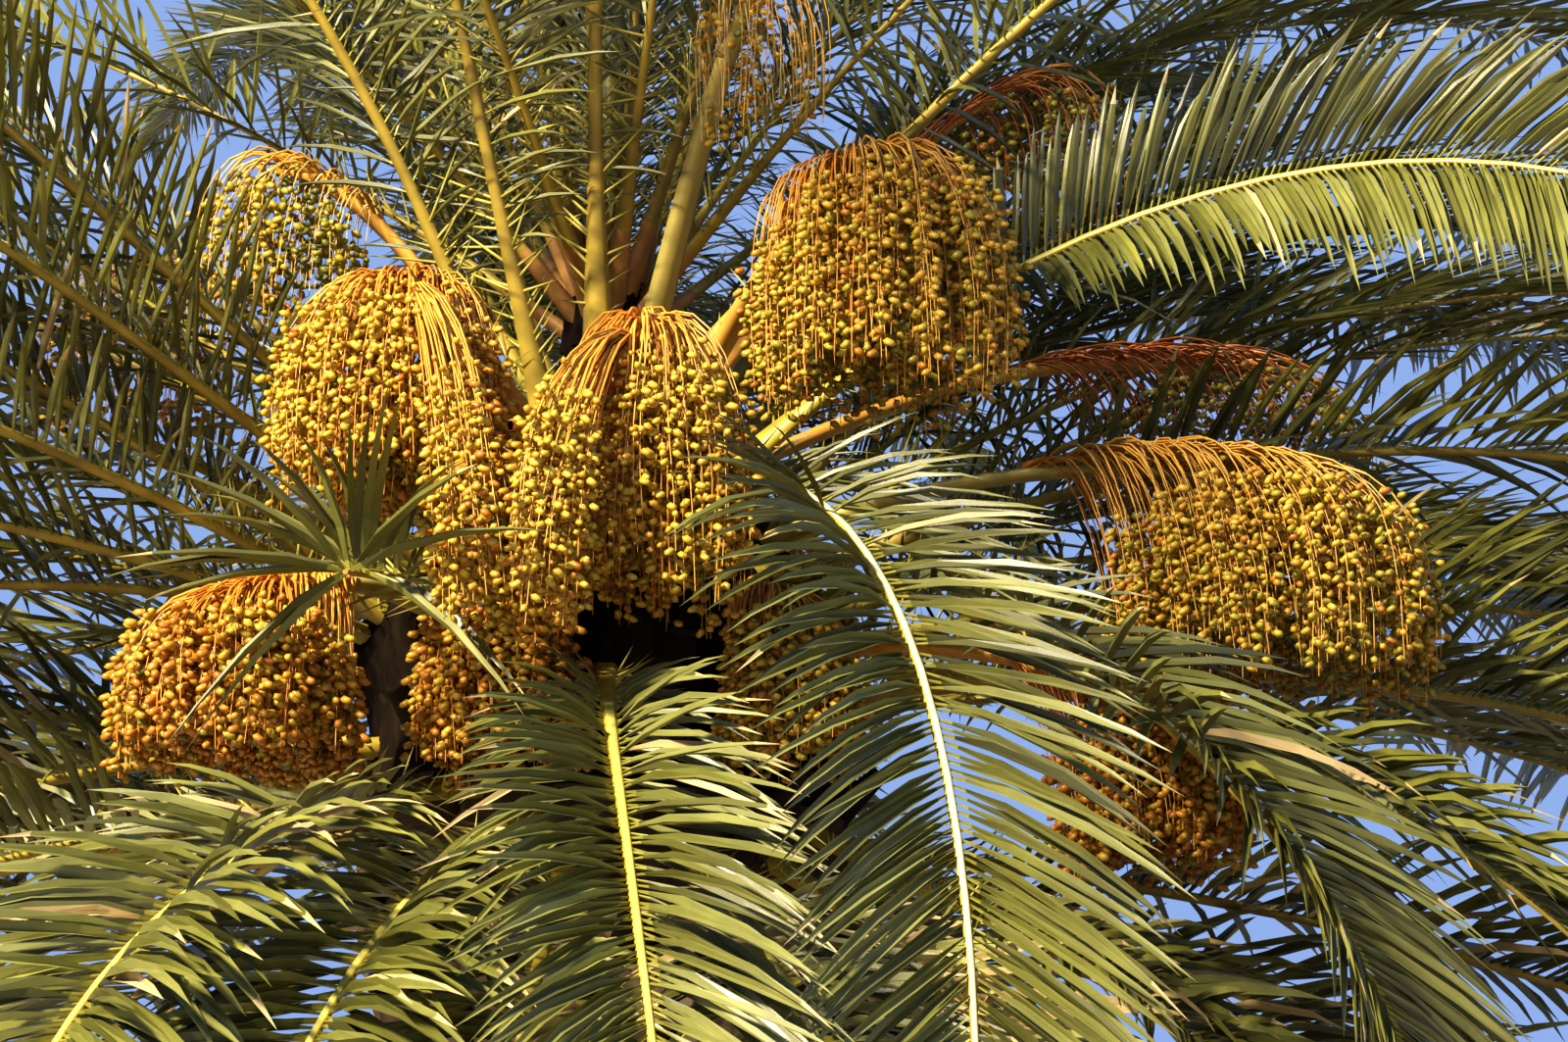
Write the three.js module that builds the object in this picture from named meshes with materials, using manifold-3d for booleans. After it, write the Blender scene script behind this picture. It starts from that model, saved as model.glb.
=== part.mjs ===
// A fruiting date palm of the stout, feather-leaved Canary Island kind, as a whole tree.
// One thick trunk rises from a flat cut at ground level through its root flare and its swollen
// neck to a pointed heart. Fronds stand round the heart in a spiral: the oldest hang, the
// youngest are nearly upright. Among their bases grow flat stalks, each with a mop of
// fruit-laden strands at its end.
// Millimetres, +Z up, origin at the centre of the cut. Headings are degrees from +X towards +Y.
import * as THREE from "three";
import { mergeVertices } from "three/addons/utils/BufferGeometryUtils.js";
import Module from "manifold-3d";

const wasm = await Module();
wasm.setup();

// Driving dimensions
const CLEARANCE = 0.35; // between a limb and the trunk that carries it
const LEAF_CLEARANCE = 3; // between leaflets of two fronds
const LIMB_CLEARANCE = 8; // between the centre lines' own thicknesses
const FROND_LENGTH = 4300;
const LEAFLET_LENGTH = 440;
const SPEAR_HEIGHT = 1900;
const SPEAR_PROFILE = [[81, 90], [34, 240], [26, 1140], [0, SPEAR_HEIGHT]]; // radius, then height
const SPEAR_SIDES = 8;

// Height above ground and radius of the trunk's outline
const TRUNK_PROFILE = [
  [0, 620], [120, 560], [350, 455], [800, 405], [2000, 380], [3100, 400],
  [3550, 490], [3800, 490], [4050, 420], [4300, 300], [4550, 180], [4760, 90],
];
const FLARE_HEIGHT = 300; // up to which the foot swells between its main roots
const FLARE_LOBES = 5;
const FLARE_DEPTH = 0.05;
const TRUNK_SIDES = 18;
const TRUNK_RINGS = 25;
const SCAR_RELIEF = 14; // depth of the leaf-scar pattern
const SCARS_END = 3700; // above this the surface is hidden by frond bases
const GROWING_TIP = TRUNK_PROFILE.at(-1)[0];
const ROOTED = 0.6; // share of the trunk's radius at which ribs and stalks start

// Share of a frond's length, then the rib's width and height there
const RIB_PROFILE = [
  [0, 92, 56], [0.04, 76, 48], [0.1, 54, 38], [0.3, 38, 29], [0.6, 24, 18], [0.9, 11, 9], [1, 7, 6],
];
// Share of a frond's length, then the leaflet's length as a share of the longest,
// its angle from the rib, and how far it is lifted out of the frond's plane, in degrees
const LEAFLET_PROFILE = [
  [0.13, 0.3, 74, 30], [0.2, 0.78, 66, 28], [0.32, 1, 58, 24], [0.5, 1, 50, 18],
  [0.72, 0.86, 41, 14], [0.9, 0.64, 30, 10], [1, 0.45, 18, 6],
];
const FIRST_LEAFLET = 0.13; // share of the length that is bare stalk
const LAST_LEAFLET = 0.985;
const END_LEAFLET = 180; // length of the one in line with the rib
const CUT_END = 30; // what is left of a rib beyond its last leaflets where it is cut
const LEAFLET_ROWS = 10; // each stands for several real leaflets
const BARE_SECTIONS = [0, 0.03, 0.075];
const RIB_STEPS = 48;
const BEND_EASE = 1.35; // how late along a rib its bending comes
const STEEPEST_HANG = -88;
const LEAFLET_DROOP = 0.12; // of a tip, as a share of the leaflet's length
const LEAFLET_CHOICES = [1, 0.72, 0.48]; // shares of the full length, tried until one is clear of other limbs

// Share of a fruit stalk's length, then its width and height
const STALK_PROFILE = [[0, 74, 34], [0.5, 56, 24], [1, 40, 20]];
const STALK_PIECES = 7;
// Share of a mop's drop, then its radius as a share of its reach
const MOP_PROFILE = [[-0.06, 0.42], [0.14, 0.84], [0.42, 1], [0.72, 0.95], [1, 0.72]];
const MOP_CROWN = 0.13; // how far its middle stands above the stalk's end, as a share of the drop
const MOP_HOLLOW = 0.7; // how far down the hollow under it starts
const MOP_PLEATS = 7;
const PLEAT_DEPTH = 0.16;
const PLEAT_END = 0.82; // share of the drop at which the folds between the tassels end

// Fronds of the side that faces the viewer, as the tree shows them:
// heading and height of the base, rise and bend in degrees, sideways sweep, tilt of the blade at its
// base and roll towards its tip, length share
const NEAR_FRONDS = [
  { name: "frond_arch_centre", heading: -66, base: 4420, rise: -5, bend: 170, sweep: -23, roll: 0, size: 1 },
  { name: "frond_hang_centre", heading: -88, base: 4040, rise: -16, bend: 80, sweep: 16, roll: 0, size: 0.94 },
  { name: "frond_hang_right", heading: -44, base: 4260, rise: -9, bend: 140, sweep: 3, roll: -25, size: 1 },
  {
    name: "frond_arch_right", heading: -20, base: 4380,
    rise: 39, bend: 158, sweep: -20, tilt: 62, roll: 10, size: 1,
  },
  { name: "frond_left_upper", heading: -146, base: 4140, rise: 30, bend: 34, sweep: 16, roll: -40, size: 1 },
  { name: "frond_left_middle", heading: -165, base: 4160, rise: 28, bend: 76, sweep: -17, roll: -30, size: 1 },
  { name: "frond_left_lower", heading: 184, base: 4180, rise: 6, bend: 46, sweep: 7, roll: -20, size: 1 },
  { name: "frond_rise_left", heading: -136, base: 4320, rise: 66, bend: 104, sweep: -20, roll: 0, size: 1 },
  { name: "frond_rise_centre", heading: -94, base: 4560, rise: 71, bend: 80, sweep: 60, roll: 0, size: 0.96 },
  { name: "frond_rise_right", heading: -26, base: 4600, rise: 44, bend: 50, sweep: 8, roll: 30, size: 1 },
  { name: "frond_hang_left", heading: -106, base: 3750, rise: -18, bend: 68, sweep: 10, roll: 0, size: 0.92 },
  { name: "frond_droop_left", heading: -119, base: 3790, rise: -11, bend: 88, sweep: 26, roll: 0, size: 0.92 },
  { name: "frond_skirt_left", heading: -148, base: 3760, rise: -6, bend: 84, sweep: 0, roll: 10, size: 0.94 },
  { name: "frond_skirt_right", heading: -30, base: 3780, rise: -24, bend: 64, sweep: 0, roll: -10, size: 0.95 },
  { name: "frond_right_lower", heading: -6, base: 3980, rise: 8, bend: 80, sweep: 0, roll: -15, size: 0.98 },
  { name: "frond_skirt_front", heading: -70, base: 3740, rise: -28, bend: 56, sweep: 0, roll: 0, size: 0.9 },
  { name: "frond_left_top", heading: -145, base: 4223, rise: 33, bend: 14, sweep: 18, roll: -30, size: 1 },
  { name: "frond_rise_middle", heading: -120, base: 4386, rise: 65, bend: 12, sweep: 39, roll: 0, size: 1 },
  { name: "frond_right_middle", heading: -2, base: 4074, rise: 13, bend: 75, sweep: 24, roll: -20, size: 1 },
  { name: "frond_right_outer", heading: -23, base: 4070, rise: -5, bend: 110, sweep: -12, roll: -20, size: 0.97 },
  { name: "frond_right_high", heading: -5, base: 4200, rise: 21, bend: 100, sweep: -25, roll: -30, size: 1 },
  { name: "frond_skirt_middle", heading: -97, base: 3730, rise: -38, bend: 46, sweep: 0, roll: 0, size: 0.88 },
  { name: "frond_droop_outer", heading: -160, base: 3900, rise: -4, bend: 90, sweep: 6, roll: 0, size: 0.94 },
  { name: "frond_dry_right", heading: -44, base: 3730, rise: -30, bend: 56, sweep: -6, roll: 0, size: 0.9 },
  { name: "frond_cut_short", heading: -117, base: 4110, rise: 0, bend: 100, sweep: 150, roll: 0, size: 1, cut: 0.25 },
];
const FAR_GROUPS = 16; // of three fronds each
const FAR_FIRST_HEADING = 0; // the spiral of these fronds leaves out the viewer's side
const FAR_SECTOR = 281;
const TWIN_TURN = 10; // between a group's outer two at their base: of their headings, then their rises
const TWIN_RISE = 5;
const TWIN_SWEEP = 36; // how much further they have parted at their tips: sideways, then in their bending
const TWIN_BEND = 16;
const THIRD_RISE = 12; // of the one between them over the lower one, and how much less it bends
const THIRD_BEND = 28;
const YOUNG_GIRTH = 0.6; // of the young fronds' ribs against those of grown fronds
const SPEAR_OPEN = 0.35; // how far the youngest has spread its leaflets
const GOLDEN_SHARE = 0.618034;
const YOUNG_FRONDS = 22; // the steepest ones, fused round the spear on the growing tip
const YOUNG_FIRST_HEADING = 165;
const HEADING_STEP = 5;
const HEADING_TRIES = 72;

// Fruit bunches: where the stalk ends, the height it starts from, how far it rises above a
// straight line, the mop's reach and drop, and its colour
const BUNCHES = [
  { end: [-395, -760, 4640], from: 4330, rise: 150, reach: 240, drop: 430, tint: "gold" },
  { end: [110, -870, 4500], from: 4260, rise: 170, reach: 205, drop: 550, tint: "gold" },
  { end: [-680, -800, 4000], from: 4030, rise: 120, reach: 235, drop: 320, tint: "orange" },
  { end: [-185, -690, 4070], from: 4020, rise: 110, reach: 165, drop: 370, tint: "orange" },
  { end: [570, -600, 4960], from: 4440, rise: 130, reach: 275, drop: 520, tint: "olive" },
  { end: [1340, -500, 4330], from: 4270, rise: 110, reach: 330, drop: 450, tint: "olive" },
  { end: [1330, 240, 4770], from: 4440, rise: 120, reach: 330, drop: 330, tint: "green" },
  { end: [1080, -700, 3840], from: 4050, rise: 90, reach: 185, drop: 340, tint: "orange" },
  { end: [385, -610, 4050], from: 4080, rise: 70, reach: 140, drop: 330, tint: "olive" },
  { end: [-690, -120, 5120], from: 4500, rise: 130, reach: 190, drop: 380, tint: "green" },
  { end: [930, 320, 5480], from: 4540, rise: 110, reach: 210, drop: 400, tint: "green" },
  { end: [320, -430, 5460], from: 4600, rise: 60, reach: 160, drop: 400, tint: "gold" },
  { end: [-1060, 480, 5060], from: 4420, rise: 130, reach: 220, drop: 430, tint: "gold" },
  { end: [-460, 900, 4700], from: 4320, rise: 150, reach: 260, drop: 460, tint: "gold" },
  { end: [360, 960, 4480], from: 4250, rise: 150, reach: 260, drop: 440, tint: "olive" },
  { end: [-60, 1020, 4020], from: 4060, rise: 120, reach: 220, drop: 360, tint: "orange" },
  { end: [-140, -1170, 4290], from: 4190, rise: 90, reach: 140, drop: 420, tint: "gold" },
].map((bunch, i) => ({ name: numbered("fruit_bunch", i + 1), ...bunch }));

const COLOURS = {
  trunk: [0x6f6152, 0.92],
  leaf: [0x55692f, 0.55],
  youngLeaf: [0x6c8238, 0.5],
  gold: [0xc9992b, 0.45],
  orange: [0xc67a22, 0.45],
  olive: [0xa6952f, 0.45],
  green: [0x6f7428, 0.5],
};

// Numbers

const radians = (degrees) => (degrees * Math.PI) / 180;
const mix = (a, b, share) => a + (b - a) * share;

// A name with its number, such as frond_far_01.
function numbered(name, number) {
  return `${name}_${String(number).padStart(2, "0")}`;
}

// A repeatable number from 0 to 1 for each seed.
function chance(seed) {
  const x = Math.sin(seed * 12.9898 + 4.1414) * 43758.5453;
  return x - Math.floor(x);
}

// The row of a profile at a place between its own rows, without the first column.
function profileAt(profile, place) {
  const last = profile.length - 1;
  if (place <= profile[0][0]) return profile[0].slice(1);
  if (place >= profile[last][0]) return profile[last].slice(1);
  const above = profile.findIndex((row) => row[0] > place);
  const [low, high] = [profile[above - 1], profile[above]];
  const share = (place - low[0]) / (high[0] - low[0]);
  return low.slice(1).map((value, column) => mix(value, high[column + 1], share));
}

const trunkRadius = (height) => profileAt(TRUNK_PROFILE, height)[0];

// Solids

// A closed solid from a list of Vector3 and a list of index triples.
function solidOf(points, triangles) {
  const vertProperties = new Float32Array(points.flatMap((p) => [p.x, p.y, p.z]));
  const triVerts = new Uint32Array(triangles.flat());
  return new wasm.Manifold(new wasm.Mesh({ numProp: 3, vertProperties, triVerts }));
}

function geometryOf(solid) {
  const mesh = solid.getMesh();
  const geometry = new THREE.BufferGeometry();
  geometry.setAttribute("position", new THREE.BufferAttribute(mesh.vertProperties, 3));
  geometry.setIndex(new THREE.BufferAttribute(mesh.triVerts, 1));
  return geometry;
}

function node(name, solid, colour) {
  const [color, roughness] = COLOURS[colour];
  const material = new THREE.MeshStandardMaterial({ color, roughness, metalness: 0 });
  const mesh = new THREE.Mesh(geometryOf(solid), material);
  mesh.name = name;
  return mesh;
}

// The largest body of a solid: a boolean cut can leave a loose scrap, which is dropped.
function mainBody(solid) {
  return solid.decompose().sort((a, b) => b.volume() - a.volume())[0];
}

// Trunk

// The whole trunk, every face moved out by grow. Its scars are a lattice of low diamonds.
function trunkSolid(grow) {
  const top = GROWING_TIP + grow;
  const points = [];
  const triangles = [];
  for (let ring = 0; ring <= TRUNK_RINGS; ring++) {
    const height = mix(0, GROWING_TIP, ring / TRUNK_RINGS);
    for (let side = 0; side < TRUNK_SIDES; side++) {
      const angle = ((side + (ring % 2) / 2) / TRUNK_SIDES) * 2 * Math.PI;
      const scarred = height > 0 && height < SCARS_END;
      const relief = scarred ? SCAR_RELIEF * (side % 2 ? 0.5 : -0.5) : 0;
      const flare = height < FLARE_HEIGHT ? 1 + FLARE_DEPTH * Math.cos(FLARE_LOBES * angle) : 1;
      const radius = trunkRadius(height) * flare + relief + grow;
      const stretched = (height * top) / GROWING_TIP;
      points.push(new THREE.Vector3(radius * Math.cos(angle), radius * Math.sin(angle), stretched));
    }
  }
  for (let ring = 0; ring < TRUNK_RINGS; ring++) {
    for (let side = 0; side < TRUNK_SIDES; side++) {
      const next = (side + 1) % TRUNK_SIDES;
      const low = ring * TRUNK_SIDES;
      const high = low + TRUNK_SIDES;
      const apex = high + (ring % 2 ? next : side);
      const base = low + (ring % 2 ? side : next);
      triangles.push([low + side, low + next, apex], [base, high + next, high + side]);
    }
  }
  const foot = points.push(new THREE.Vector3(0, 0, 0)) - 1;
  const tip = points.push(new THREE.Vector3(0, 0, top)) - 1;
  const rim = TRUNK_RINGS * TRUNK_SIDES;
  for (let side = 0; side < TRUNK_SIDES; side++) {
    const next = (side + 1) % TRUNK_SIDES;
    triangles.push([foot, next, side], [tip, rim + side, rim + next]);
  }
  return solidOf(points, triangles);
}

// Ribs

// The rib's stations, evenly spaced: each a point with the directions along, across and up.
function ribLine(frond) {
  const length = FROND_LENGTH * frond.size;
  const start = frond.start ?? trunkRadius(frond.base) * ROOTED;
  const base = radians(frond.heading);
  const point = new THREE.Vector3(start * Math.cos(base), start * Math.sin(base), frond.base);
  const stations = [];
  for (let step = 0; step <= RIB_STEPS; step++) {
    const ease = (step / RIB_STEPS) ** BEND_EASE;
    const slope = radians(Math.max(STEEPEST_HANG, frond.rise - frond.bend * ease));
    const turn = radians(frond.heading + frond.sweep * ease);
    const roll = radians((frond.tilt ?? 0) + frond.roll * ease);
    const ahead = Math.cos(slope);
    const along = new THREE.Vector3(ahead * Math.cos(turn), ahead * Math.sin(turn), Math.sin(slope));
    const level = new THREE.Vector3(-Math.sin(turn), Math.cos(turn), 0);
    const upright = along.clone().cross(level);
    const across = level.clone().multiplyScalar(Math.cos(roll)).addScaledVector(upright, Math.sin(roll));
    stations.push({ point: point.clone(), along, across, up: along.clone().cross(across) });
    point.addScaledVector(along, length / RIB_STEPS);
  }
  return stations;
}

// The station at any share of the rib's length.
function stationAt(line, share) {
  const place = Math.min(Math.max(share, 0), 1) * RIB_STEPS;
  const low = Math.min(Math.floor(place), RIB_STEPS - 1);
  const [a, b] = [line[low], line[low + 1]];
  const between = (key) => a[key].clone().lerp(b[key], place - low);
  const station = { point: between("point") };
  for (const key of ["along", "across", "up"]) station[key] = between(key).normalize();
  return station;
}

// Triangles of a cone from a loop of indices to an apex.
const coneTo = (loop, apex) => loop.map((a, i) => [a, loop[(i + 1) % loop.length], apex]);

// The corners of a rib or stalk of this width and height at a station: its flat face is the upper one.
function corners({ point, across, up }, width, height) {
  const top = point.clone().addScaledVector(up, height / 2);
  const left = top.clone().addScaledVector(across, width / 2);
  const right = top.addScaledVector(across, -width / 2);
  return [left, right, point.clone().addScaledVector(up, -height / 2)];
}

// Index triples of a tube through this many sections of three corners, with its first end closed.
// A flank that has an apex in peaks, under "section:corner", is drawn out to it.
function tubeTriangles(sections, peaks = new Map()) {
  const triangles = [[0, 2, 1]];
  for (let i = 0; i + 1 < sections; i++) {
    for (let corner = 0; corner < 3; corner++) {
      const [a, b] = [i * 3 + corner, i * 3 + ((corner + 1) % 3)];
      const peak = peaks.get(`${i}:${corner}`);
      if (peak === undefined) triangles.push([a, b, b + 3], [a, b + 3, a + 3]);
      else triangles.push(...coneTo([a, b, b + 3, a + 3], peak));
    }
  }
  return triangles;
}

// Leaflets

// The tip of the leaflet that stands for those between a section of the rib and the next one.
function leafletTip({ frond, line, shares }, section, side, seed, shorter) {
  const share = (shares[section] + shares[section + 1]) / 2;
  const [size, lean, lift] = profileAt(LEAFLET_PROFILE, share);
  const { point, along, across, up } = stationAt(line, share);
  const full = LEAFLET_LENGTH * size * Math.min(1, frond.size + 0.35);
  const length = full * (0.94 + 0.12 * chance(seed)) * shorter;
  const angle = radians(lean + 8 * (chance(seed + 0.5) - 0.5)) * (frond.open ?? 1);
  const raised = radians(lift);
  const tip = point.clone().addScaledVector(along, length * Math.cos(angle));
  tip.addScaledVector(across, side * length * Math.sin(angle) * Math.cos(raised));
  tip.addScaledVector(up, length * Math.sin(angle) * Math.sin(raised));
  tip.z -= length * LEAFLET_DROOP;
  return tip;
}

// A frond's sections: those of its bare stalk, then one at each edge between leaflets, up to its cut.
function frondShares({ cut = 1 }) {
  const edges = [...Array(LEAFLET_ROWS + 1).keys()];
  const leafy = edges.map((i) => mix(FIRST_LEAFLET, LAST_LEAFLET, i / LEAFLET_ROWS));
  return [...BARE_SECTIONS, ...leafy].filter((share) => share < cut);
}

// A frond before its leaflets are chosen: its line, its sections and a plain rib for clearance tests.
function plannedFrond(frond, index) {
  const line = ribLine(frond);
  const shares = frondShares(frond);
  const sections = shares.map((share) => {
    const [width, height] = profileAt(RIB_PROFILE, share).map((size) => size * (frond.girth ?? 1));
    return corners(stationAt(line, share), width, height);
  });
  return { frond, index, line, shares, sections, tips: new Map() };
}

// The frond's solid: a three-sided rib whose flanks are drawn out into a leaflet wherever a tip is set.
function frondSolid({ frond, line, shares, sections, tips }) {
  const points = sections.flat();
  const peaks = new Map([...tips].map(([place, tip]) => [place, points.push(tip) - 1]));
  const triangles = tubeTriangles(sections.length, peaks);
  const { point, along } = stationAt(line, shares.at(-1));
  const tip = points.push(point.clone().addScaledVector(along, frond.cut ? CUT_END : END_LEAFLET)) - 1;
  const end = (sections.length - 1) * 3;
  triangles.push(...coneTo([end, end + 1, end + 2], tip));
  return solidOf(points, triangles);
}

// Space that is already in use

const inUse = [];

function occupy(owner, solid) {
  inUse.push({ owner, solid, box: solid.boundingBox() });
}

function apart(a, b, gap) {
  return [0, 1, 2].some((axis) => a.min[axis] > b.max[axis] + gap || b.min[axis] > a.max[axis] + gap);
}

function isClear(owner, solid, gap) {
  const box = solid.boundingBox();
  const others = inUse.filter((other) => other.owner !== owner && !apart(box, other.box, gap));
  return others.every((other) => solid.minGap(other.solid, gap) >= gap);
}

// Chooses each leaflet's tip: its full length, a shorter one, or none where another limb is in the way.
// The rows are dealt with from the base outwards over all fronds, so that no frond takes all the space.
function chooseLeaflets(plans) {
  for (let row = 0; row < LEAFLET_ROWS; row++) {
    for (const plan of plans) {
      const i = BARE_SECTIONS.length + row;
      if (i + 1 >= plan.shares.length) continue;
      for (const [side, corner] of [[1, 2], [-1, 1]]) {
        const next = (corner + 1) % 3;
        const [low, high] = [plan.sections[i], plan.sections[i + 1]];
        const loop = [low[corner], low[next], high[next], high[corner]];
        for (const shorter of LEAFLET_CHOICES) {
          const seed = plan.index * 100 + row * 2 + (side > 0 ? 1 : 0);
          const tip = leafletTip(plan, i, side, seed, shorter);
          const leaflet = solidOf([...loop, tip], [...coneTo([0, 1, 2, 3], 4), [0, 2, 1], [0, 3, 2]]);
          if (!isClear(plan.frond.name, leaflet, LEAF_CLEARANCE)) continue;
          plan.tips.set(`${i}:${corner}`, tip);
          occupy(plan.frond.name, leaflet);
          break;
        }
      }
    }
  }
}

// Fruit bunches

// The stalk's path: out of the heart, up over its rise, and out to the middle of the mop.
function stalkCurve(bunch) {
  const end = new THREE.Vector3(...bunch.end);
  const heading = Math.atan2(end.y, end.x);
  const start = trunkRadius(bunch.from) * ROOTED;
  const foot = new THREE.Vector3(start * Math.cos(heading), start * Math.sin(heading), bunch.from);
  const top = foot.clone().lerp(end, 0.6);
  top.z += 2 * bunch.rise;
  return new THREE.QuadraticBezierCurve3(foot, top, end);
}

function stalkSolid(bunch) {
  const curve = stalkCurve(bunch);
  const sections = [];
  for (let i = 0; i <= STALK_PIECES; i++) {
    const share = i / STALK_PIECES;
    const along = curve.getTangent(share);
    const across = new THREE.Vector3(0, 0, 1).cross(along).normalize();
    const station = { point: curve.getPoint(share), across, up: along.clone().cross(across) };
    sections.push(corners(station, ...profileAt(STALK_PROFILE, share)));
  }
  const end = STALK_PIECES * 3;
  return solidOf(sections.flat(), [...tubeTriangles(sections.length), [end, end + 1, end + 2]]);
}

// The mop of strands: a dome pleated into hanging tassels, hollow a little way up inside.
function mopSolid(bunch, index) {
  const centre = new THREE.Vector3(...bunch.end);
  const sides = MOP_PLEATS * 2;
  const points = [];
  MOP_PROFILE.forEach(([down, wide], ring) => {
    for (let side = 0; side < sides; side++) {
      const angle = ((side + 0.5 * chance(index + 0.3)) / sides) * 2 * Math.PI;
      const outer = side % 2 === 0;
      const uneven = 0.92 + 0.16 * chance(index * 40 + side);
      const radius = bunch.reach * wide * (outer ? uneven : 1 - PLEAT_DEPTH);
      const last = ring === MOP_PROFILE.length - 1;
      const drop = bunch.drop * (last ? (outer ? uneven : PLEAT_END) : down);
      const offset = new THREE.Vector3(radius * Math.cos(angle), radius * Math.sin(angle), -drop);
      points.push(centre.clone().add(offset));
    }
  });
  const triangles = [];
  for (let ring = 0; ring + 1 < MOP_PROFILE.length; ring++) {
    for (let side = 0; side < sides; side++) {
      const next = (side + 1) % sides;
      const [high, low] = [ring * sides, (ring + 1) * sides];
      triangles.push([high + side, low + side, low + next], [high + side, low + next, high + next]);
    }
  }
  const crown = points.push(centre.clone().add(new THREE.Vector3(0, 0, bunch.drop * MOP_CROWN))) - 1;
  const hollow = points.push(centre.clone().add(new THREE.Vector3(0, 0, -bunch.drop * MOP_HOLLOW))) - 1;
  const rim = (MOP_PROFILE.length - 1) * sides;
  for (let side = 0; side < sides; side++) {
    const next = (side + 1) % sides;
    triangles.push([crown, side, next], [hollow, rim + next, rim + side]);
  }
  return solidOf(points, triangles);
}

// Placing the far fronds

const STALK_BEADS = 15;

// Beads along a rib and along a bunch: points with the radius that has to stay free round them.
function ribBeads(frond) {
  return ribLine(frond).map(({ point }, step) => {
    const [width] = profileAt(RIB_PROFILE, step / RIB_STEPS);
    return { point, radius: width / 2 };
  });
}

function spearBeads() {
  return [0, 0.06, 0.12, 0.4, 0.8].map((share) => ({
    point: new THREE.Vector3(0, 0, GROWING_TIP + share * SPEAR_HEIGHT),
    radius: trunkRadius(GROWING_TIP),
  }));
}

function bunchBeads(bunch) {
  const radius = STALK_PROFILE[0][1] / 2;
  const stalk = stalkCurve(bunch).getPoints(STALK_BEADS).map((point) => ({ point, radius }));
  const mop = [0.15, 0.4, 0.65].map((down) => ({
    point: new THREE.Vector3(...bunch.end).add(new THREE.Vector3(0, 0, -down * bunch.drop)),
    radius: bunch.reach,
  }));
  return [...stalk, ...mop];
}

// How much room two rows of beads leave between them, negative where they run into each other.
function roomBetween(beads, others) {
  let room = Infinity;
  for (const a of beads) {
    for (const b of others) room = Math.min(room, a.point.distanceTo(b.point) - a.radius - b.radius);
  }
  return room;
}

// The fronds turned together to the heading nearest to their own at which their ribs are clear of all
// that stands.
function turnedClear(fronds, standing) {
  let best = { room: -Infinity };
  for (let attempt = 0; attempt < HEADING_TRIES && best.room < LIMB_CLEARANCE; attempt++) {
    const aside = Math.ceil(attempt / 2) * HEADING_STEP * (attempt % 2 ? 1 : -1);
    const turned = fronds.map((frond) => ({ ...frond, heading: frond.heading + aside }));
    const beads = turned.flatMap(ribBeads);
    const room = Math.min(...standing.map((others) => roomBetween(beads, others)));
    if (room > best.room) best = { room, turned };
  }
  return best.turned;
}

// The steepest fronds, round the spear on the growing tip. They may touch each other, as one body.
function youngFronds(standing) {
  return Array.from({ length: YOUNG_FRONDS }, (_, i) => {
    const youth = i / (YOUNG_FRONDS - 1);
    return turnedClear([{
      name: "spear_leaves",
      heading: YOUNG_FIRST_HEADING + i * 360 * GOLDEN_SHARE,
      start: 62,
      base: GROWING_TIP + 30 + 150 * youth,
      girth: YOUNG_GIRTH,
      open: mix(1, SPEAR_OPEN, youth), // of its leaflets, still folded along the rib on the youngest
      rise: mix(38, 84, youth),
      bend: mix(60, 10, youth),
      sweep: 0,
      roll: 20 * (chance(i + 9.5) - 0.5),
      size: mix(0.98, 0.6, youth),
    }], standing)[0];
  });
}

// The fronds of the sides and the back, oldest first, on a spiral that leaves out the viewer's side.
// They stand in groups of three that part above one base, each group one body.
function farFronds(standing) {
  const taken = [...standing];
  return Array.from({ length: FAR_GROUPS }, (_, i) => {
    const youth = i / (FAR_GROUPS - 1);
    const turn = (i * GOLDEN_SHARE) % 1;
    const low = {
      name: numbered("frond_far", i + 1),
      heading: FAR_FIRST_HEADING + FAR_SECTOR * turn,
      base: mix(3740, 4480, youth),
      rise: mix(-16, 50, youth ** 0.85) + 10 * (chance(i + 0.2) - 0.5),
      bend: mix(78, 62, youth) + 16 * (chance(i + 0.4) - 0.5),
      sweep: 16 * (chance(i + 0.6) - 0.5) - TWIN_SWEEP / 2,
      roll: 50 * (chance(i + 0.8) - 0.5),
      size: mix(0.93, 1, Math.sin(Math.PI * youth)) * (0.97 + 0.06 * chance(i + 0.1)),
    };
    const high = {
      ...low,
      heading: low.heading + TWIN_TURN,
      rise: low.rise + TWIN_RISE,
      bend: low.bend - TWIN_BEND + 16 * (chance(i + 0.5) - 0.5),
      sweep: low.sweep + TWIN_SWEEP,
      roll: 50 * (chance(i + 0.9) - 0.5),
      size: low.size * (0.95 + 0.06 * chance(i + 0.7)),
    };
    const third = {
      ...low,
      heading: low.heading + TWIN_TURN / 2,
      rise: low.rise + THIRD_RISE,
      bend: low.bend - THIRD_BEND + 16 * (chance(i + 0.3) - 0.5),
      sweep: 12 * (chance(i + 0.65) - 0.5),
      roll: 50 * (chance(i + 0.35) - 0.5),
    };
    const group = turnedClear([low, high, third], taken);
    taken.push(group.flatMap(ribBeads));
    return group;
  });
}

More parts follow.
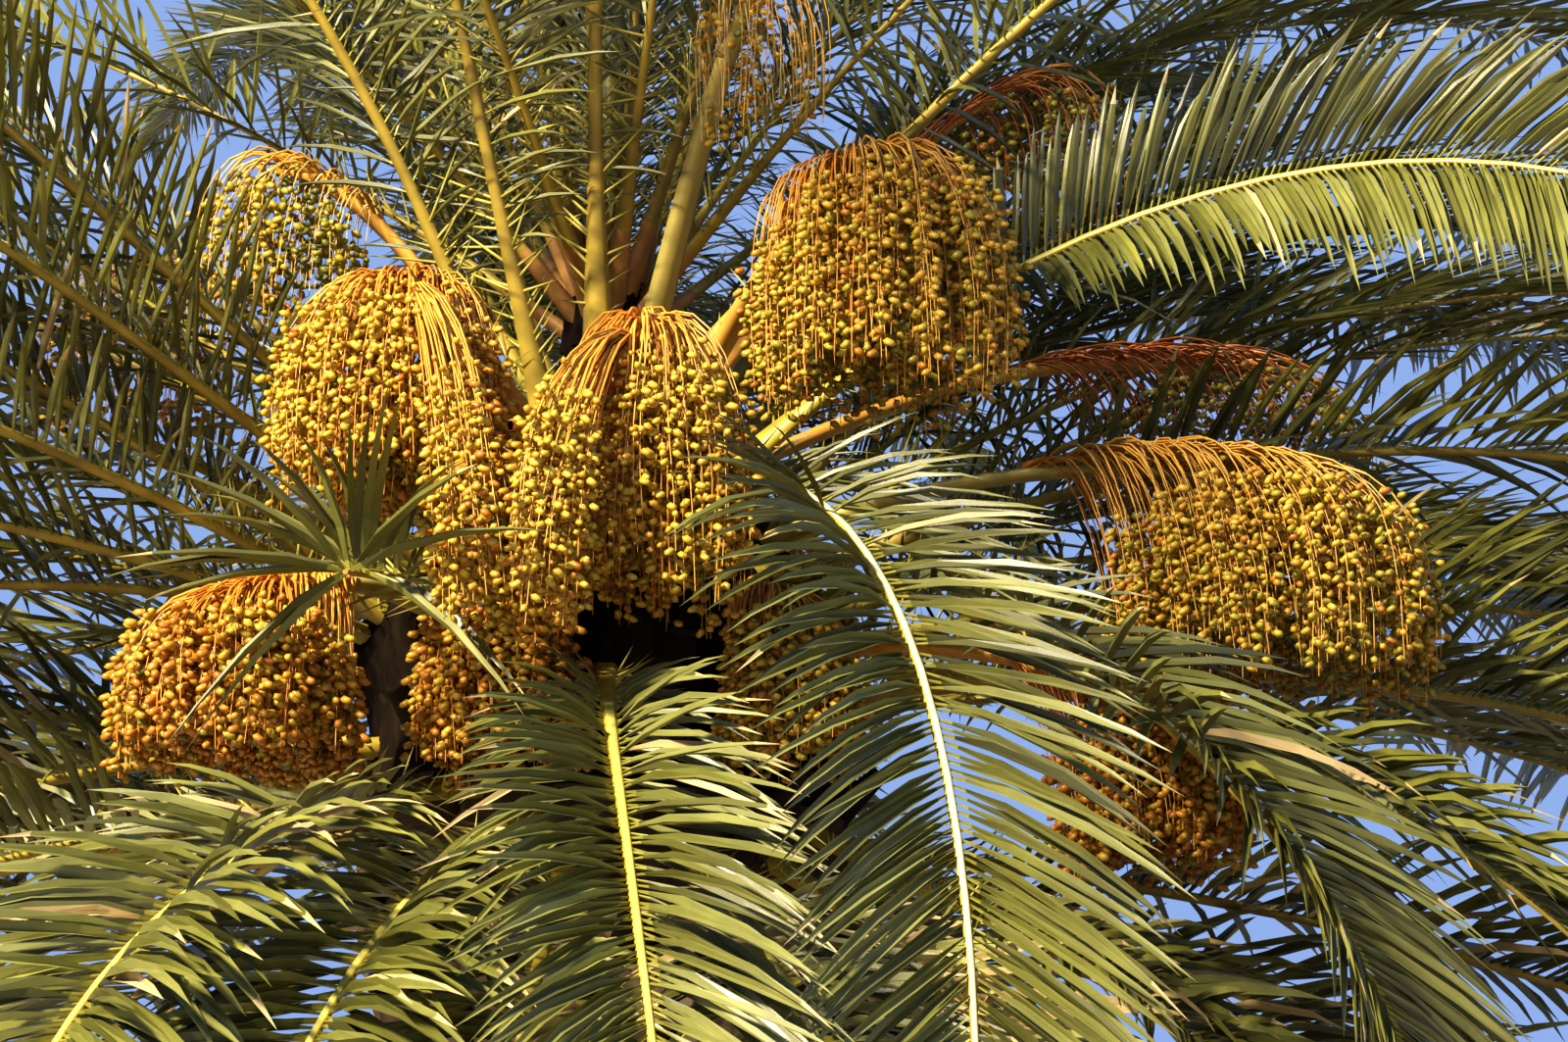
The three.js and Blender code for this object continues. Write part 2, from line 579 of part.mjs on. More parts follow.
// The cap of the growing tip with the unopened spear leaf on it.
function spearSolid() {
  const radius = trunkRadius(GROWING_TIP);
  const outline = [[0, 0], [radius, 0], ...SPEAR_PROFILE].map(([r, z]) => new THREE.Vector2(r, z));
  const lathe = new THREE.LatheGeometry(outline, SPEAR_SIDES);
  lathe.deleteAttribute("normal");
  lathe.deleteAttribute("uv");
  lathe.rotateX(Math.PI / 2).translate(0, 0, GROWING_TIP + CLEARANCE);
  const merged = mergeVertices(lathe, 0.001);
  const vertProperties = merged.attributes.position.array;
  const triVerts = new Uint32Array(merged.index.array);
  return new wasm.Manifold(new wasm.Mesh({ numProp: 3, vertProperties, triVerts }));
}

// The whole tree

const trunk = trunkSolid(0);
const socket = trunkSolid(CLEARANCE);
const bunches = BUNCHES.map((bunch, index) => mopSolid(bunch, index).add(stalkSolid(bunch)));
const standing = [...NEAR_FRONDS.map(ribBeads), ...BUNCHES.map(bunchBeads)];
const youngest = youngFronds(standing);
const crowded = [...standing, ...youngest.map(ribBeads), spearBeads()];
const fronds = [...NEAR_FRONDS, ...farFronds(crowded).flat()].map(plannedFrond);
const young = youngest.map((frond, i) => plannedFrond(frond, fronds.length + i));
const plans = [...fronds, ...young];

occupy("trunk", trunk);
bunches.forEach((solid, i) => occupy(BUNCHES[i].name, solid));
for (const plan of plans) occupy(plan.frond.name, frondSolid(plan));
occupy("spear_leaves", spearSolid());
chooseLeaflets(plans);

// One solid for each node name: a single frond, three that part above one base, or the spear's group.
const solids = new Map([["spear_leaves", [spearSolid()]]]);
for (const plan of plans) {
  const { name } = plan.frond;
  solids.set(name, [...(solids.get(name) ?? []), frondSolid(plan)]);
}

const palm = new THREE.Group();
palm.add(node("trunk", trunk, "trunk"));
BUNCHES.forEach(({ name, tint }, i) => palm.add(node(name, mainBody(bunches[i].subtract(socket)), tint)));
for (const [name, parts] of solids) {
  const colour = name === "spear_leaves" ? "youngLeaf" : "leaf";
  palm.add(node(name, mainBody(wasm.Manifold.union(parts).subtract(socket)), colour));
}

export default palm;
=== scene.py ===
"""Looks of a fruiting date palm of the stout Canary Island kind.

Metres and degrees, +Z up. The limbs follow the rule of the part's source, with the same rows and
profiles. Each broad leaflet of a frond solid becomes its real leaflets, and each pleated mop of a
bunch its strands of fruit.
"""
import math

import bpy
import numpy as np
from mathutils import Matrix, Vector


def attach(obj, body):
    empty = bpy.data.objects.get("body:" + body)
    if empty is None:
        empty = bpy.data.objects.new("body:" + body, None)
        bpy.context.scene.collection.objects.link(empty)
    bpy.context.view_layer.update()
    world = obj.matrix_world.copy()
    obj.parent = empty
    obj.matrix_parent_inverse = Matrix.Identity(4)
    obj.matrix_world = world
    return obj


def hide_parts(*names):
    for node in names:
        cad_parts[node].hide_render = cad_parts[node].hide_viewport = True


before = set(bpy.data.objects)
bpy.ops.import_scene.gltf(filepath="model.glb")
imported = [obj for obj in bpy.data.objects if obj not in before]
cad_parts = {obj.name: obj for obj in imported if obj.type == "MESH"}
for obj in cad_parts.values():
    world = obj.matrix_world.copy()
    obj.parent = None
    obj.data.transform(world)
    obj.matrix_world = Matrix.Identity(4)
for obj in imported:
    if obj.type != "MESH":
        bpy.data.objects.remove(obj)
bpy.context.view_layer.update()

# Sizes of the source

FROND_LENGTH = 4.3
LEAFLET_LENGTH = 0.44
SPEAR_HEIGHT = 1.9
# Height above ground, radius
TRUNK_PROFILE = [
    (0, 0.62), (0.12, 0.56), (0.35, 0.455), (0.8, 0.405), (2.0, 0.38), (3.1, 0.4),
    (3.55, 0.49), (3.8, 0.49), (4.05, 0.42), (4.3, 0.3), (4.55, 0.18), (4.76, 0.09),
]
GROWING_TIP = TRUNK_PROFILE[-1][0]
ROOTED = 0.6  # share of the trunk's radius at which ribs and stalks start
# Share of a frond's length, rib width, rib height
RIB_PROFILE = [
    (0, 0.092, 0.056), (0.04, 0.076, 0.048), (0.1, 0.054, 0.038), (0.3, 0.038, 0.029),
    (0.6, 0.024, 0.018), (0.9, 0.011, 0.009), (1, 0.007, 0.006),
]
# Share of a frond's length, leaflet length as a share of the longest, angle from the rib, lift
LEAFLET_PROFILE = [
    (0.13, 0.3, 74, 30), (0.2, 0.78, 66, 28), (0.32, 1, 58, 24), (0.5, 1, 50, 18),
    (0.72, 0.86, 41, 14), (0.9, 0.64, 30, 10), (1, 0.45, 18, 6),
]
FIRST_LEAFLET = 0.13  # share of the length that is bare stalk
RIB_STEPS = 48
BEND_EASE = 1.35  # how late along a rib its bending comes
STEEPEST_HANG = -88
LIMB_CLEARANCE = 0.008
# Share of a fruit stalk's length, its width and height
STALK_PROFILE = [(0, 0.074, 0.034), (0.5, 0.056, 0.024), (1, 0.04, 0.02)]
STALK_TOP = 0.6  # share of the way out at which a stalk's curve is drawn up
STALK_BEADS = 15
# Share of a mop's drop, its radius as a share of its reach
MOP_PROFILE = [(-0.06, 0.42), (0.14, 0.84), (0.42, 1), (0.72, 0.95), (1, 0.72)]
MOP_BEADS = [0.15, 0.4, 0.65]  # shares of its drop
SPEAR_BEADS = np.array([0, 0.06, 0.12, 0.4, 0.8])  # shares of its height

# The base is a height, and cut the share that is left of a cut frond
FROND_KEYS = ("heading", "base", "rise", "bend", "sweep", "tilt", "roll", "size", "cut")
NEAR_FRONDS = {
    "arch_centre": (-66, 4.42, -5, 170, -23, 0, 0, 1),
    "hang_centre": (-88, 4.04, -16, 80, 16, 0, 0, 0.94),
    "hang_right": (-44, 4.26, -9, 140, 3, 0, -25, 1),
    "arch_right": (-20, 4.38, 39, 158, -20, 62, 10, 1),
    "left_upper": (-146, 4.14, 30, 34, 16, 0, -40, 1),
    "left_middle": (-165, 4.16, 28, 76, -17, 0, -30, 1),
    "left_lower": (184, 4.18, 6, 46, 7, 0, -20, 1),
    "rise_left": (-136, 4.32, 66, 104, -20, 0, 0, 1),
    "rise_centre": (-94, 4.56, 71, 80, 60, 0, 0, 0.96),
    "rise_right": (-26, 4.6, 44, 50, 8, 0, 30, 1),
    "hang_left": (-106, 3.75, -18, 68, 10, 0, 0, 0.92),
    "droop_left": (-119, 3.79, -11, 88, 26, 0, 0, 0.92),
    "skirt_left": (-148, 3.76, -6, 84, 0, 0, 10, 0.94),
    "skirt_right": (-30, 3.78, -24, 64, 0, 0, -10, 0.95),
    "right_lower": (-6, 3.98, 8, 80, 0, 0, -15, 0.98),
    "skirt_front": (-70, 3.74, -28, 56, 0, 0, 0, 0.9),
    "left_top": (-145, 4.223, 33, 14, 18, 0, -30, 1),
    "rise_middle": (-120, 4.386, 65, 12, 39, 0, 0, 1),
    "right_middle": (-2, 4.074, 13, 75, 24, 0, -20, 1),
    "right_outer": (-23, 4.07, -5, 110, -12, 0, -20, 0.97),
    "right_high": (-5, 4.2, 21, 100, -25, 0, -30, 1),
    "skirt_middle": (-97, 3.73, -38, 46, 0, 0, 0, 0.88),
    "droop_outer": (-160, 3.9, -4, 90, 6, 0, 0, 0.94),
    "dry_right": (-44, 3.73, -30, 56, -6, 0, 0, 0.9),
    "cut_short": (-117, 4.11, 0, 100, 150, 0, 0, 1, 0.25),
}
FAR_GROUPS = 16  # of three fronds each, on a spiral round the sides and the back
FAR_FIRST_HEADING = 0
FAR_SECTOR = 281
TWIN_TURN = 10  # between a group's outer two at their base, and between their rises
TWIN_RISE = 5
TWIN_SWEEP = 36  # how much further they have parted at their tips, and how much less the upper one bends
TWIN_BEND = 16
THIRD_RISE = 12  # of the one between them over the lower one, and how much less it bends
THIRD_BEND = 28
YOUNG_FRONDS = 22  # round the spear on the growing tip
YOUNG_FIRST_HEADING = 165
YOUNG_GIRTH = 0.6  # of their ribs against those of grown fronds
SPEAR_OPEN = 0.35  # how far the youngest has spread its leaflets
GOLDEN_SHARE = 0.618034
HEADING_STEP = 5
HEADING_TRIES = 72

# The rise is over a straight line, and carrying the share of strands that still hold fruit
BUNCH_KEYS = ("end", "from", "rise", "reach", "drop", "tint", "carrying")
BUNCH_ROWS = [
    ((-0.395, -0.76, 4.64), 4.33, 0.15, 0.24, 0.43, "gold", 1),
    ((0.11, -0.87, 4.5), 4.26, 0.17, 0.205, 0.55, "gold", 1),
    ((-0.68, -0.8, 4), 4.03, 0.12, 0.235, 0.32, "orange", 1),
    ((-0.185, -0.69, 4.07), 4.02, 0.11, 0.165, 0.37, "orange", 1),
    ((0.57, -0.6, 4.96), 4.44, 0.13, 0.275, 0.52, "olive", 1),
    ((1.34, -0.5, 4.33), 4.27, 0.11, 0.33, 0.45, "olive", 1),
    ((1.33, 0.24, 4.77), 4.44, 0.12, 0.33, 0.33, "green", 0.7),
    ((1.08, -0.7, 3.84), 4.05, 0.09, 0.185, 0.34, "orange", 1),
    ((0.385, -0.61, 4.05), 4.08, 0.07, 0.14, 0.33, "olive", 1),
    ((-0.69, -0.12, 5.12), 4.5, 0.13, 0.19, 0.38, "young", 0.9),
    ((0.93, 0.32, 5.48), 4.54, 0.11, 0.21, 0.4, "green", 0.6),
    ((0.32, -0.43, 5.46), 4.6, 0.06, 0.16, 0.4, "gold", 0.2),
    ((-1.06, 0.48, 5.06), 4.42, 0.13, 0.22, 0.43, "gold", 0.8),
    ((-0.46, 0.9, 4.7), 4.32, 0.15, 0.26, 0.46, "gold", 1),
    ((0.36, 0.96, 4.48), 4.25, 0.15, 0.26, 0.44, "olive", 1),
    ((-0.06, 1.02, 4.02), 4.06, 0.12, 0.22, 0.36, "orange", 1),
    ((-0.14, -1.17, 4.29), 4.19, 0.09, 0.14, 0.42, "gold", 1),
]
BUNCHES = {i: dict(zip(BUNCH_KEYS, (np.array(row[0]), *row[1:]))) for i, row in enumerate(BUNCH_ROWS, 1)}

# What single fronds have of their own

CROWDED_WIDTH = 1.25  # of leaflets that stand closer than the common ones
# Spacing, width and reach are shares of the common ones. The outer leaflets of a combed frond lie
# like a comb, and those of a curtain hang from the rib on both sides.
HABITS = {
    "arch_centre": {"combed": True, "pale_rib": True},
    "hang_right": {"combed": True, "pale_rib": True, "spacing": 0.75, "width": CROWDED_WIDTH},
    "arch_right": {
        "curtain": True, "loose": 0.2, "limp": 0.6, "spacing": 0.8, "width": CROWDED_WIDTH,
        "reach": 0.75, "slim": 0.4,
    },
    "right_outer": {"spacing": 0.85, "width": CROWDED_WIDTH},
    "skirt_right": {"spacing": 0.85, "width": CROWDED_WIDTH},
    "left_top": {"pale_rib": True},
    "dry_right": {"dry": True},
    "cut_short": {"loose": 2.4, "width": 1.7, "reach": 1.2},
}

# Helpers

UP = np.array([0, 0, 1])


def mix(a, b, share):
    return a + (b - a) * share


def chance(seed):
    """A repeatable number from 0 to 1 for each seed, one number or an array of them."""
    x = np.sin(np.asarray(seed, float) * 12.9898 + 4.1414) * 43758.5453
    return x - np.floor(x)


def wobble(seed):
    """A repeatable number from -0.5 to 0.5 for each seed."""
    return chance(seed) - 0.5


def profile_at(profile, place):
    """The columns of a profile after the first, at a place or an array of places."""
    rows = np.array(profile, float)
    return [np.interp(place, rows[:, 0], column) for column in rows.T[1:]]


def trunk_radius(height):
    return profile_at(TRUNK_PROFILE, height)[0]


def unit(vectors):
    return vectors / np.maximum(np.linalg.norm(vectors, axis=-1, keepdims=True), 1e-9)


def across_pair(along, helper=(0.31, 0.17, 0.94)):
    """Two directions across each one, square to each other. None may lie along the helper."""
    across = unit(np.cross(along, np.array(helper)))
    return across, np.cross(along, across)


def placed(name, data):
    """A new object of the scene."""
    made = bpy.data.objects.new(name, data)
    bpy.context.scene.collection.objects.link(made)
    return made


# Ribs and stalks


def rib_line(frond):
    """Stations along the rib: points and the directions along, across and up, each an array."""
    start = frond.get("start", ROOTED * trunk_radius(frond["base"]))
    base = math.radians(frond["heading"])
    ease = (np.arange(RIB_STEPS + 1) / RIB_STEPS) ** BEND_EASE
    slope = np.radians(np.maximum(STEEPEST_HANG, frond["rise"] - frond["bend"] * ease))
    turn = np.radians(frond["heading"] + frond["sweep"] * ease)
    roll = np.radians(frond.get("tilt", 0) + frond["roll"] * ease)[:, None]
    along = np.stack([np.cos(slope) * np.cos(turn), np.cos(slope) * np.sin(turn), np.sin(slope)], 1)
    level = np.stack([-np.sin(turn), np.cos(turn), np.zeros_like(turn)], 1)
    across = level * np.cos(roll) + np.cross(along, level) * np.sin(roll)
    steps = along[:-1] * FROND_LENGTH * frond["size"] / RIB_STEPS
    foot = np.array([start * math.cos(base), start * math.sin(base), frond["base"]])
    points = foot + np.vstack([np.zeros(3), np.cumsum(steps, axis=0)])
    return {"point": points, "along": along, "across": across, "up": np.cross(along, across)}


def station_at(line, share):
    """The stations at an array of shares of the rib's length."""
    place = np.clip(share, 0, 1) * RIB_STEPS
    steps = np.arange(RIB_STEPS + 1)
    found = {key: np.stack([np.interp(place, steps, c) for c in rows.T], -1) for key, rows in line.items()}
    return {key: rows if key == "point" else unit(rows) for key, rows in found.items()}


def stalk_points(bunch, share):
    """Points of a bunch's stalk at an array of shares of its curve."""
    end = bunch["end"]
    heading = math.atan2(end[1], end[0])
    start = ROOTED * trunk_radius(bunch["from"])
    foot = np.array([start * math.cos(heading), start * math.sin(heading), bunch["from"]])
    top = foot + (end - foot) * STALK_TOP + UP * 2 * bunch["rise"]
    s = np.asarray(share, float)[..., None]
    return foot * (1 - s) ** 2 + top * 2 * s * (1 - s) + end * s ** 2


# Beads: rows of points along a limb with the radius that has to stay free round each


def rib_beads(frond):
    width = profile_at(RIB_PROFILE, np.arange(RIB_STEPS + 1) / RIB_STEPS)[0]
    return rib_line(frond)["point"], width / 2


def stalk_beads(bunch):
    shares = np.arange(STALK_BEADS + 1) / STALK_BEADS
    return stalk_points(bunch, shares), np.full(STALK_BEADS + 1, STALK_PROFILE[0][1] / 2)


def bunch_beads(bunch):
    mop = bunch["end"] - np.outer(MOP_BEADS, UP * bunch["drop"])
    points, radii = stalk_beads(bunch)
    return np.vstack([points, mop]), np.append(radii, [bunch["reach"]] * len(MOP_BEADS))


def spear_beads():
    heights = GROWING_TIP + SPEAR_BEADS * SPEAR_HEIGHT
    return np.outer(heights, UP), np.full(len(heights), trunk_radius(GROWING_TIP))


def joined_beads(rows):
    return np.vstack([points for points, _ in rows]), np.concatenate([radii for _, radii in rows])


def room_between(beads, others):
    """The room between two rows of beads, negative where they run into each other."""
    apart = np.linalg.norm(beads[0][:, None] - others[0][None], axis=2)
    return np.min(apart - beads[1][:, None] - others[1][None])


# Where the fronds stand


def turned_clear(fronds, standing):
    """The fronds turned together to the nearest heading where their ribs are clear of all that stands."""
    best_room, best = -math.inf, None
    for attempt in range(HEADING_TRIES):
        aside = math.ceil(attempt / 2) * HEADING_STEP * (1 if attempt % 2 else -1)
        turned = [{**frond, "heading": frond["heading"] + aside} for frond in fronds]
        beads = joined_beads([rib_beads(frond) for frond in turned])
        room = min(room_between(beads, others) for others in standing)
        if room > best_room:
            best_room, best = room, turned
        if best_room >= LIMB_CLEARANCE:
            break
    return best


def near_fronds():
    """The fronds of the viewer's side, each with its own habits."""
    return [{"name": f"frond_{name}", "near": True, **dict(zip(FROND_KEYS, row)), **HABITS.get(name, {})}
            for name, row in NEAR_FRONDS.items()]


def young_fronds(standing):
    """The steepest fronds, round the spear on the growing tip."""
    fronds = []
    for i in range(YOUNG_FRONDS):
        youth = i / (YOUNG_FRONDS - 1)
        fronds += turned_clear([{
            "name": "spear_leaves",
            "heading": YOUNG_FIRST_HEADING + i * 360 * GOLDEN_SHARE,
            "start": 0.062,
            "base": GROWING_TIP + 0.03 + 0.15 * youth,
            "girth": YOUNG_GIRTH,
            "open": mix(1, SPEAR_OPEN, youth),
            "rise": mix(38, 84, youth),
            "bend": mix(60, 10, youth),
            "sweep": 0,
            "roll": 20 * wobble(i + 9.5),
            "size": mix(0.98, 0.6, youth),
        }], standing)
    return fronds


def far_fronds(standing):
    """The groups of three of the sides and the back, oldest first. Each group parts above one base."""
    beads = list(standing)
    fronds = []
    for i in range(FAR_GROUPS):
        youth = i / (FAR_GROUPS - 1)
        turn = (i * GOLDEN_SHARE) % 1
        low = {
            "name": f"frond_far_{i + 1:02d}",
            "heading": FAR_FIRST_HEADING + FAR_SECTOR * turn,
            "base": mix(3.74, 4.48, youth),
            "rise": mix(-16, 50, youth ** 0.85) + 10 * wobble(i + 0.2),
            "bend": mix(78, 62, youth) + 16 * wobble(i + 0.4),
            "sweep": 16 * wobble(i + 0.6) - TWIN_SWEEP / 2,
            "roll": 50 * wobble(i + 0.8),
            "size": mix(0.93, 1, math.sin(math.pi * youth)) * (0.97 + 0.06 * chance(i + 0.1)),
        }
        high = {
            **low,
            "heading": low["heading"] + TWIN_TURN,
            "rise": low["rise"] + TWIN_RISE,
            "bend": low["bend"] - TWIN_BEND + 16 * wobble(i + 0.5),
            "sweep": low["sweep"] + TWIN_SWEEP,
            "roll": 50 * wobble(i + 0.9),
            "size": low["size"] * (0.95 + 0.06 * chance(i + 0.7)),
        }
        third = {
            **low,
            "heading": low["heading"] + TWIN_TURN / 2,
            "rise": low["rise"] + THIRD_RISE,
            "bend": low["bend"] - THIRD_BEND + 16 * wobble(i + 0.3),
            "sweep": 12 * wobble(i + 0.65),
            "roll": 50 * wobble(i + 0.35),
        }
        group = turned_clear([low, high, third], beads)
        beads.append(joined_beads([rib_beads(frond) for frond in group]))
        fronds += group
    return fronds


# Materials

DULL = 0.8  # roughness above which a surface has hardly any sheen
DULL_SHEEN = 0.05
LEAF_SHEEN = 0.75


def plain_material(name, colour, roughness):
    """A new node material: its tree, its shader and the shader's colour set."""
    made = bpy.data.materials.new(name)
    made.use_nodes = True
    shader = made.node_tree.nodes["Principled BSDF"]
    shader.inputs["Base Color"].default_value = (*colour, 1)
    shader.inputs["Roughness"].default_value = roughness
    made.diffuse_color = (*colour, 1)
    return made, made.node_tree, shader


def new_node(tree, kind, **values):
    """A new node with the values of its inputs."""
    made = tree.nodes.new(f"ShaderNode{kind}")
    for key, value in values.items():
        made.inputs[key].default_value = value
    return made


def tone_ramp(tree, colour, spread, low, high):
    """A ramp from the colour made darker by spread to the colour made lighter by it."""
    ramp = new_node(tree, "ValToRGB")
    dark, light = ramp.color_ramp.elements
    dark.position, light.position = low, high
    dark.color = (*[c * (1 - spread) for c in colour], 1)
    light.color = (*[min(1, c * (1 + spread)) for c in colour], 1)
    return ramp


def add_bump(tree, shader, height, strength, distance):
    bump = new_node(tree, "Bump", Strength=strength, Distance=distance)
    tree.links.new(height, bump.inputs["Height"])
    tree.links.new(bump.outputs["Normal"], shader.inputs["Normal"])


def mottled(name, colour, roughness, spread, scale, bump=0.0, stretch=(1, 1, 1), detail=3):
    """A colour that wanders lighter and darker by spread, with a bump from the same noise."""
    made, tree, shader = plain_material(name, colour, roughness)
    if roughness > DULL:
        shader.inputs["Specular IOR Level"].default_value = DULL_SHEEN
    place = new_node(tree, "TexCoord")
    mapping = new_node(tree, "Mapping", Scale=stretch)
    noise = new_node(tree, "TexNoise", Scale=scale, Detail=detail)
    ramp = tone_ramp(tree, colour, spread, 0.3, 0.7)
    link = tree.links.new
    link(place.outputs["Object"], mapping.inputs["Vector"])
    link(mapping.outputs["Vector"], noise.inputs["Vector"])
    link(noise.outputs["Fac"], ramp.inputs["Fac"])
    link(ramp.outputs["Color"], shader.inputs["Base Color"])
    if bump:
        add_bump(tree, shader, noise.outputs["Fac"], bump, 0.004)
    return made


def veined(name, colour, roughness=0.36):
    """Leaf tissue: a wandering tone with fine veins along the blade."""
    made, tree, shader = plain_material(name, colour, roughness)
    shader.inputs["Specular IOR Level"].default_value = LEAF_SHEEN
    place = new_node(tree, "TexCoord")
    wave = new_node(tree, "TexWave", Scale=9, Distortion=0.6, Detail=1)
    noise = new_node(tree, "TexNoise", Scale=7, Detail=4)
    ramp = tone_ramp(tree, colour, 0.22, 0.32, 0.68)
    shade = new_node(tree, "Mix")
    shade.data_type = "RGBA"
    shade.blend_type = "MULTIPLY"
    shade.inputs["Factor"].default_value = 0.25
    link = tree.links.new
    link(place.outputs["UV"], wave.inputs["Vector"])
    link(place.outputs["Object"], noise.inputs["Vector"])
    link(noise.outputs["Fac"], ramp.inputs["Fac"])
    link(ramp.outputs["Color"], shade.inputs["A"])
    link(wave.outputs["Color"], shade.inputs["B"])
    link(shade.outputs["Result"], shader.inputs["Base Color"])
    add_bump(tree, shader, wave.outputs["Fac"], 0.25, 0.001)
    return made


# Joined pieces


class Net:
    """Points and faces with their materials, gathered for one joined piece."""

    def __init__(self, name, materials):
        self.name, self.materials = name, materials
        self.points, self.places, self.faces, self.slots = [], [], [], []
        self.count = 0

    def add(self, points, faces, slots, places=None):
        """points (n, 3), blocks of faces (m, corners) with slots for each, and texture places (n, 2)."""
        self.points.append(points)
        self.places.append(np.zeros((len(points), 2)) if places is None else places)
        for block, materials in zip(faces, slots):
            self.faces += (np.asarray(block) + self.count).tolist()
            self.slots.append(np.broadcast_to(materials, len(block)))
        self.count += len(points)

    def make(self, replaced=(), smooth=True):
        mesh = bpy.data.meshes.new(self.name)
        mesh.from_pydata(np.concatenate(self.points).tolist(), [], self.faces)
        for made in self.materials:
            mesh.materials.append(made)
        mesh.polygons.foreach_set("material_index", np.concatenate(self.slots).astype(np.int32))
        mesh.polygons.foreach_set("use_smooth", np.full(len(self.faces), smooth))
        corners = np.empty(len(mesh.loops), np.int32)
        mesh.loops.foreach_get("vertex_index", corners)
        places = mesh.uv_layers.new(name="place")
        places.uv.foreach_set("vector", np.concatenate(self.places)[corners].astype(np.float32).ravel())
        mesh.update()
        piece = placed(self.name, mesh)
        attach(piece, "root")
        if replaced:
            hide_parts(*replaced)


def batch(template_faces, per_item, items):
    """A template's faces repeated for each of many items of per_item points."""
    faces = np.asarray(template_faces)
    offsets = np.arange(items)[:, None, None] * per_item
    return (faces[None] + offsets).reshape(-1, faces.shape[1])


def tube_faces(stations, sides):
    """Quads of one tube of this many stations of this many points."""
    ring, side = np.meshgrid(np.arange(stations - 1), np.arange(sides), indexing="ij")
    a = (ring * sides + side).ravel()
    b = (ring * sides + (side + 1) % sides).ravel()
    return np.stack([a, b, b + sides, a + sides], 1)


def swept(path, across, up, width, height, section):
    """A section's points at each place of a path, ring by ring."""
    out = across[:, None] * (width[:, None] * section[:, 0])[..., None]
    rise = up[:, None] * (height[:, None] * section[:, 1])[..., None]
    return (path[:, None] + out + rise).reshape(-1, 3)


# What stands in two ranks along a rib


def two_ranks(count, first_seed):
    """The place in its rank, the side and the seed of each, for two ranks of count."""
    rank = np.tile(np.arange(count), 2)
    side = np.repeat([1.0, -1.0], count)
    return rank, side, first_seed + rank * 2 + (side > 0)


def leaning(at, side, lean, lift):
    """Directions that lean out from the rib to their side and are lifted out of its plane."""
    direction = at["along"] * np.cos(lean)[:, None]
    direction += at["across"] * (side * np.sin(lean) * np.cos(lift))[:, None]
    return direction + at["up"] * (np.sin(lean) * np.sin(lift))[:, None]


# Leaflets

WIDE_SPACING, CLOSE_SPACING = 0.022, 0.0135  # between leaflets near a frond's foot and near its tip
FAR_SPACING = 1.15  # as a share of that on the viewer's side
LAST_LEAFLET = 0.992
LEAFLET_WIDTH = 0.027
LEAFLET_PLANES = np.array([-18, 3.6, 18])  # out of the frond's plane, in turn along a rank
FROND_LEANS = [4, -5, 1]  # more or less than the profile's angle from the rib, frond by frond
RIB_FLANK = 0.42  # share of the rib's width, from its middle, at which leaflets leave it
OLD_BASE = 4.05  # height under which a frond's leaflets stand wider and closer
WITHERED_BASE = 4.5  # height under which fronds have dry leaflets
CURTAIN_TOP = 0.95  # reach of a curtain's shaded upper leaflets, as a share of the common one
CURTAIN_SHADE = 1.8  # how many tones these are darker
MOP_ROOM, LIMB_ROOM, TRUNK_ROOM = 0.02, 0.004, 0.01  # that leaflets leave round them
SAG_EASE = 2.2  # how late along a leaflet its sag comes
# One leaflet's share of its length, width as a share of the widest, and the angle of its fold
FINE_BLADE = [(0, 0.36, 64), (0.06, 0.5, 62), (0.24, 1, 52), (0.56, 0.88, 40), (0.83, 0.46, 30)]
PLAIN_BLADE = [(0, 0.4, 60), (0.28, 1, 50), (0.72, 0.66, 34)]


def blade_faces(rings):
    """One blade's faces: quads each side of its fold, segment by segment, and two at the tip."""
    quads = []
    for ring in range(rings - 1):
        low, high = ring * 3, ring * 3 + 3
        quads += [(low, low + 1, high + 1, high), (low + 1, low + 2, high + 2, high + 1)]
    last = (rings - 1) * 3
    tip = last + 3
    return np.array(quads), np.array([(last, last + 1, tip), (last + 1, last + 2, tip)])


def blades(net, outline, foot, direction, side_way, length, width, droop, tones, tips):
    """Adds many V-folded leaflets. side_way is each blade's width direction, tones and tips its slots."""
    shares, widths, fold = np.array(outline).T
    fold = np.radians(fold)
    rings = len(outline)
    count = len(foot)
    direction = unit(direction)
    side_way = unit(side_way - direction * np.sum(side_way * direction, 1, keepdims=True))
    normal = np.cross(direction, side_way)
    normal *= np.where(normal[:, 2:] < 0, -1, 1)
    share = np.append(shares, 1)
    middle = foot[:, None] + direction[:, None] * (length[:, None] * share)[..., None]
    sag = droop[:, None] * length[:, None] * share ** SAG_EASE
    middle = middle - UP * sag[..., None]
    half = width[:, None] * widths / 2
    out = side_way[:, None] * (half * np.cos(fold))[..., None]
    lift = normal[:, None] * (half * np.sin(fold))[..., None]
    rows = np.stack([middle[:, :-1] - out + lift, middle[:, :-1], middle[:, :-1] + out + lift], 2)
    points = np.concatenate([rows.reshape(count, -1, 3), middle[:, -1:]], 1)
    across = np.tile([0.0, 0.5, 1.0], rings)
    places = np.concatenate([np.stack([across, np.repeat(shares, 3)], 1), [[0.5, 1.0]]])
    quads, ends = [batch(faces, points.shape[1], count) for faces in blade_faces(rings)]
    segment = np.repeat(np.arange(rings - 1), 2)
    has_foot = shares[1] < 0.1
    slots = [np.where((segment == 0) & has_foot, 0, tones[:, None]).ravel(), np.repeat(tips, 2)]
    net.add(points.reshape(-1, 3), [quads, ends], slots, np.tile(places, (count, 1)))


def is_free(points, beads):
    """Whether each point is clear of the fruit bunches, the trunk and a limb's beads."""
    return ~(inside_mops(points) | hits_limbs(points, beads))


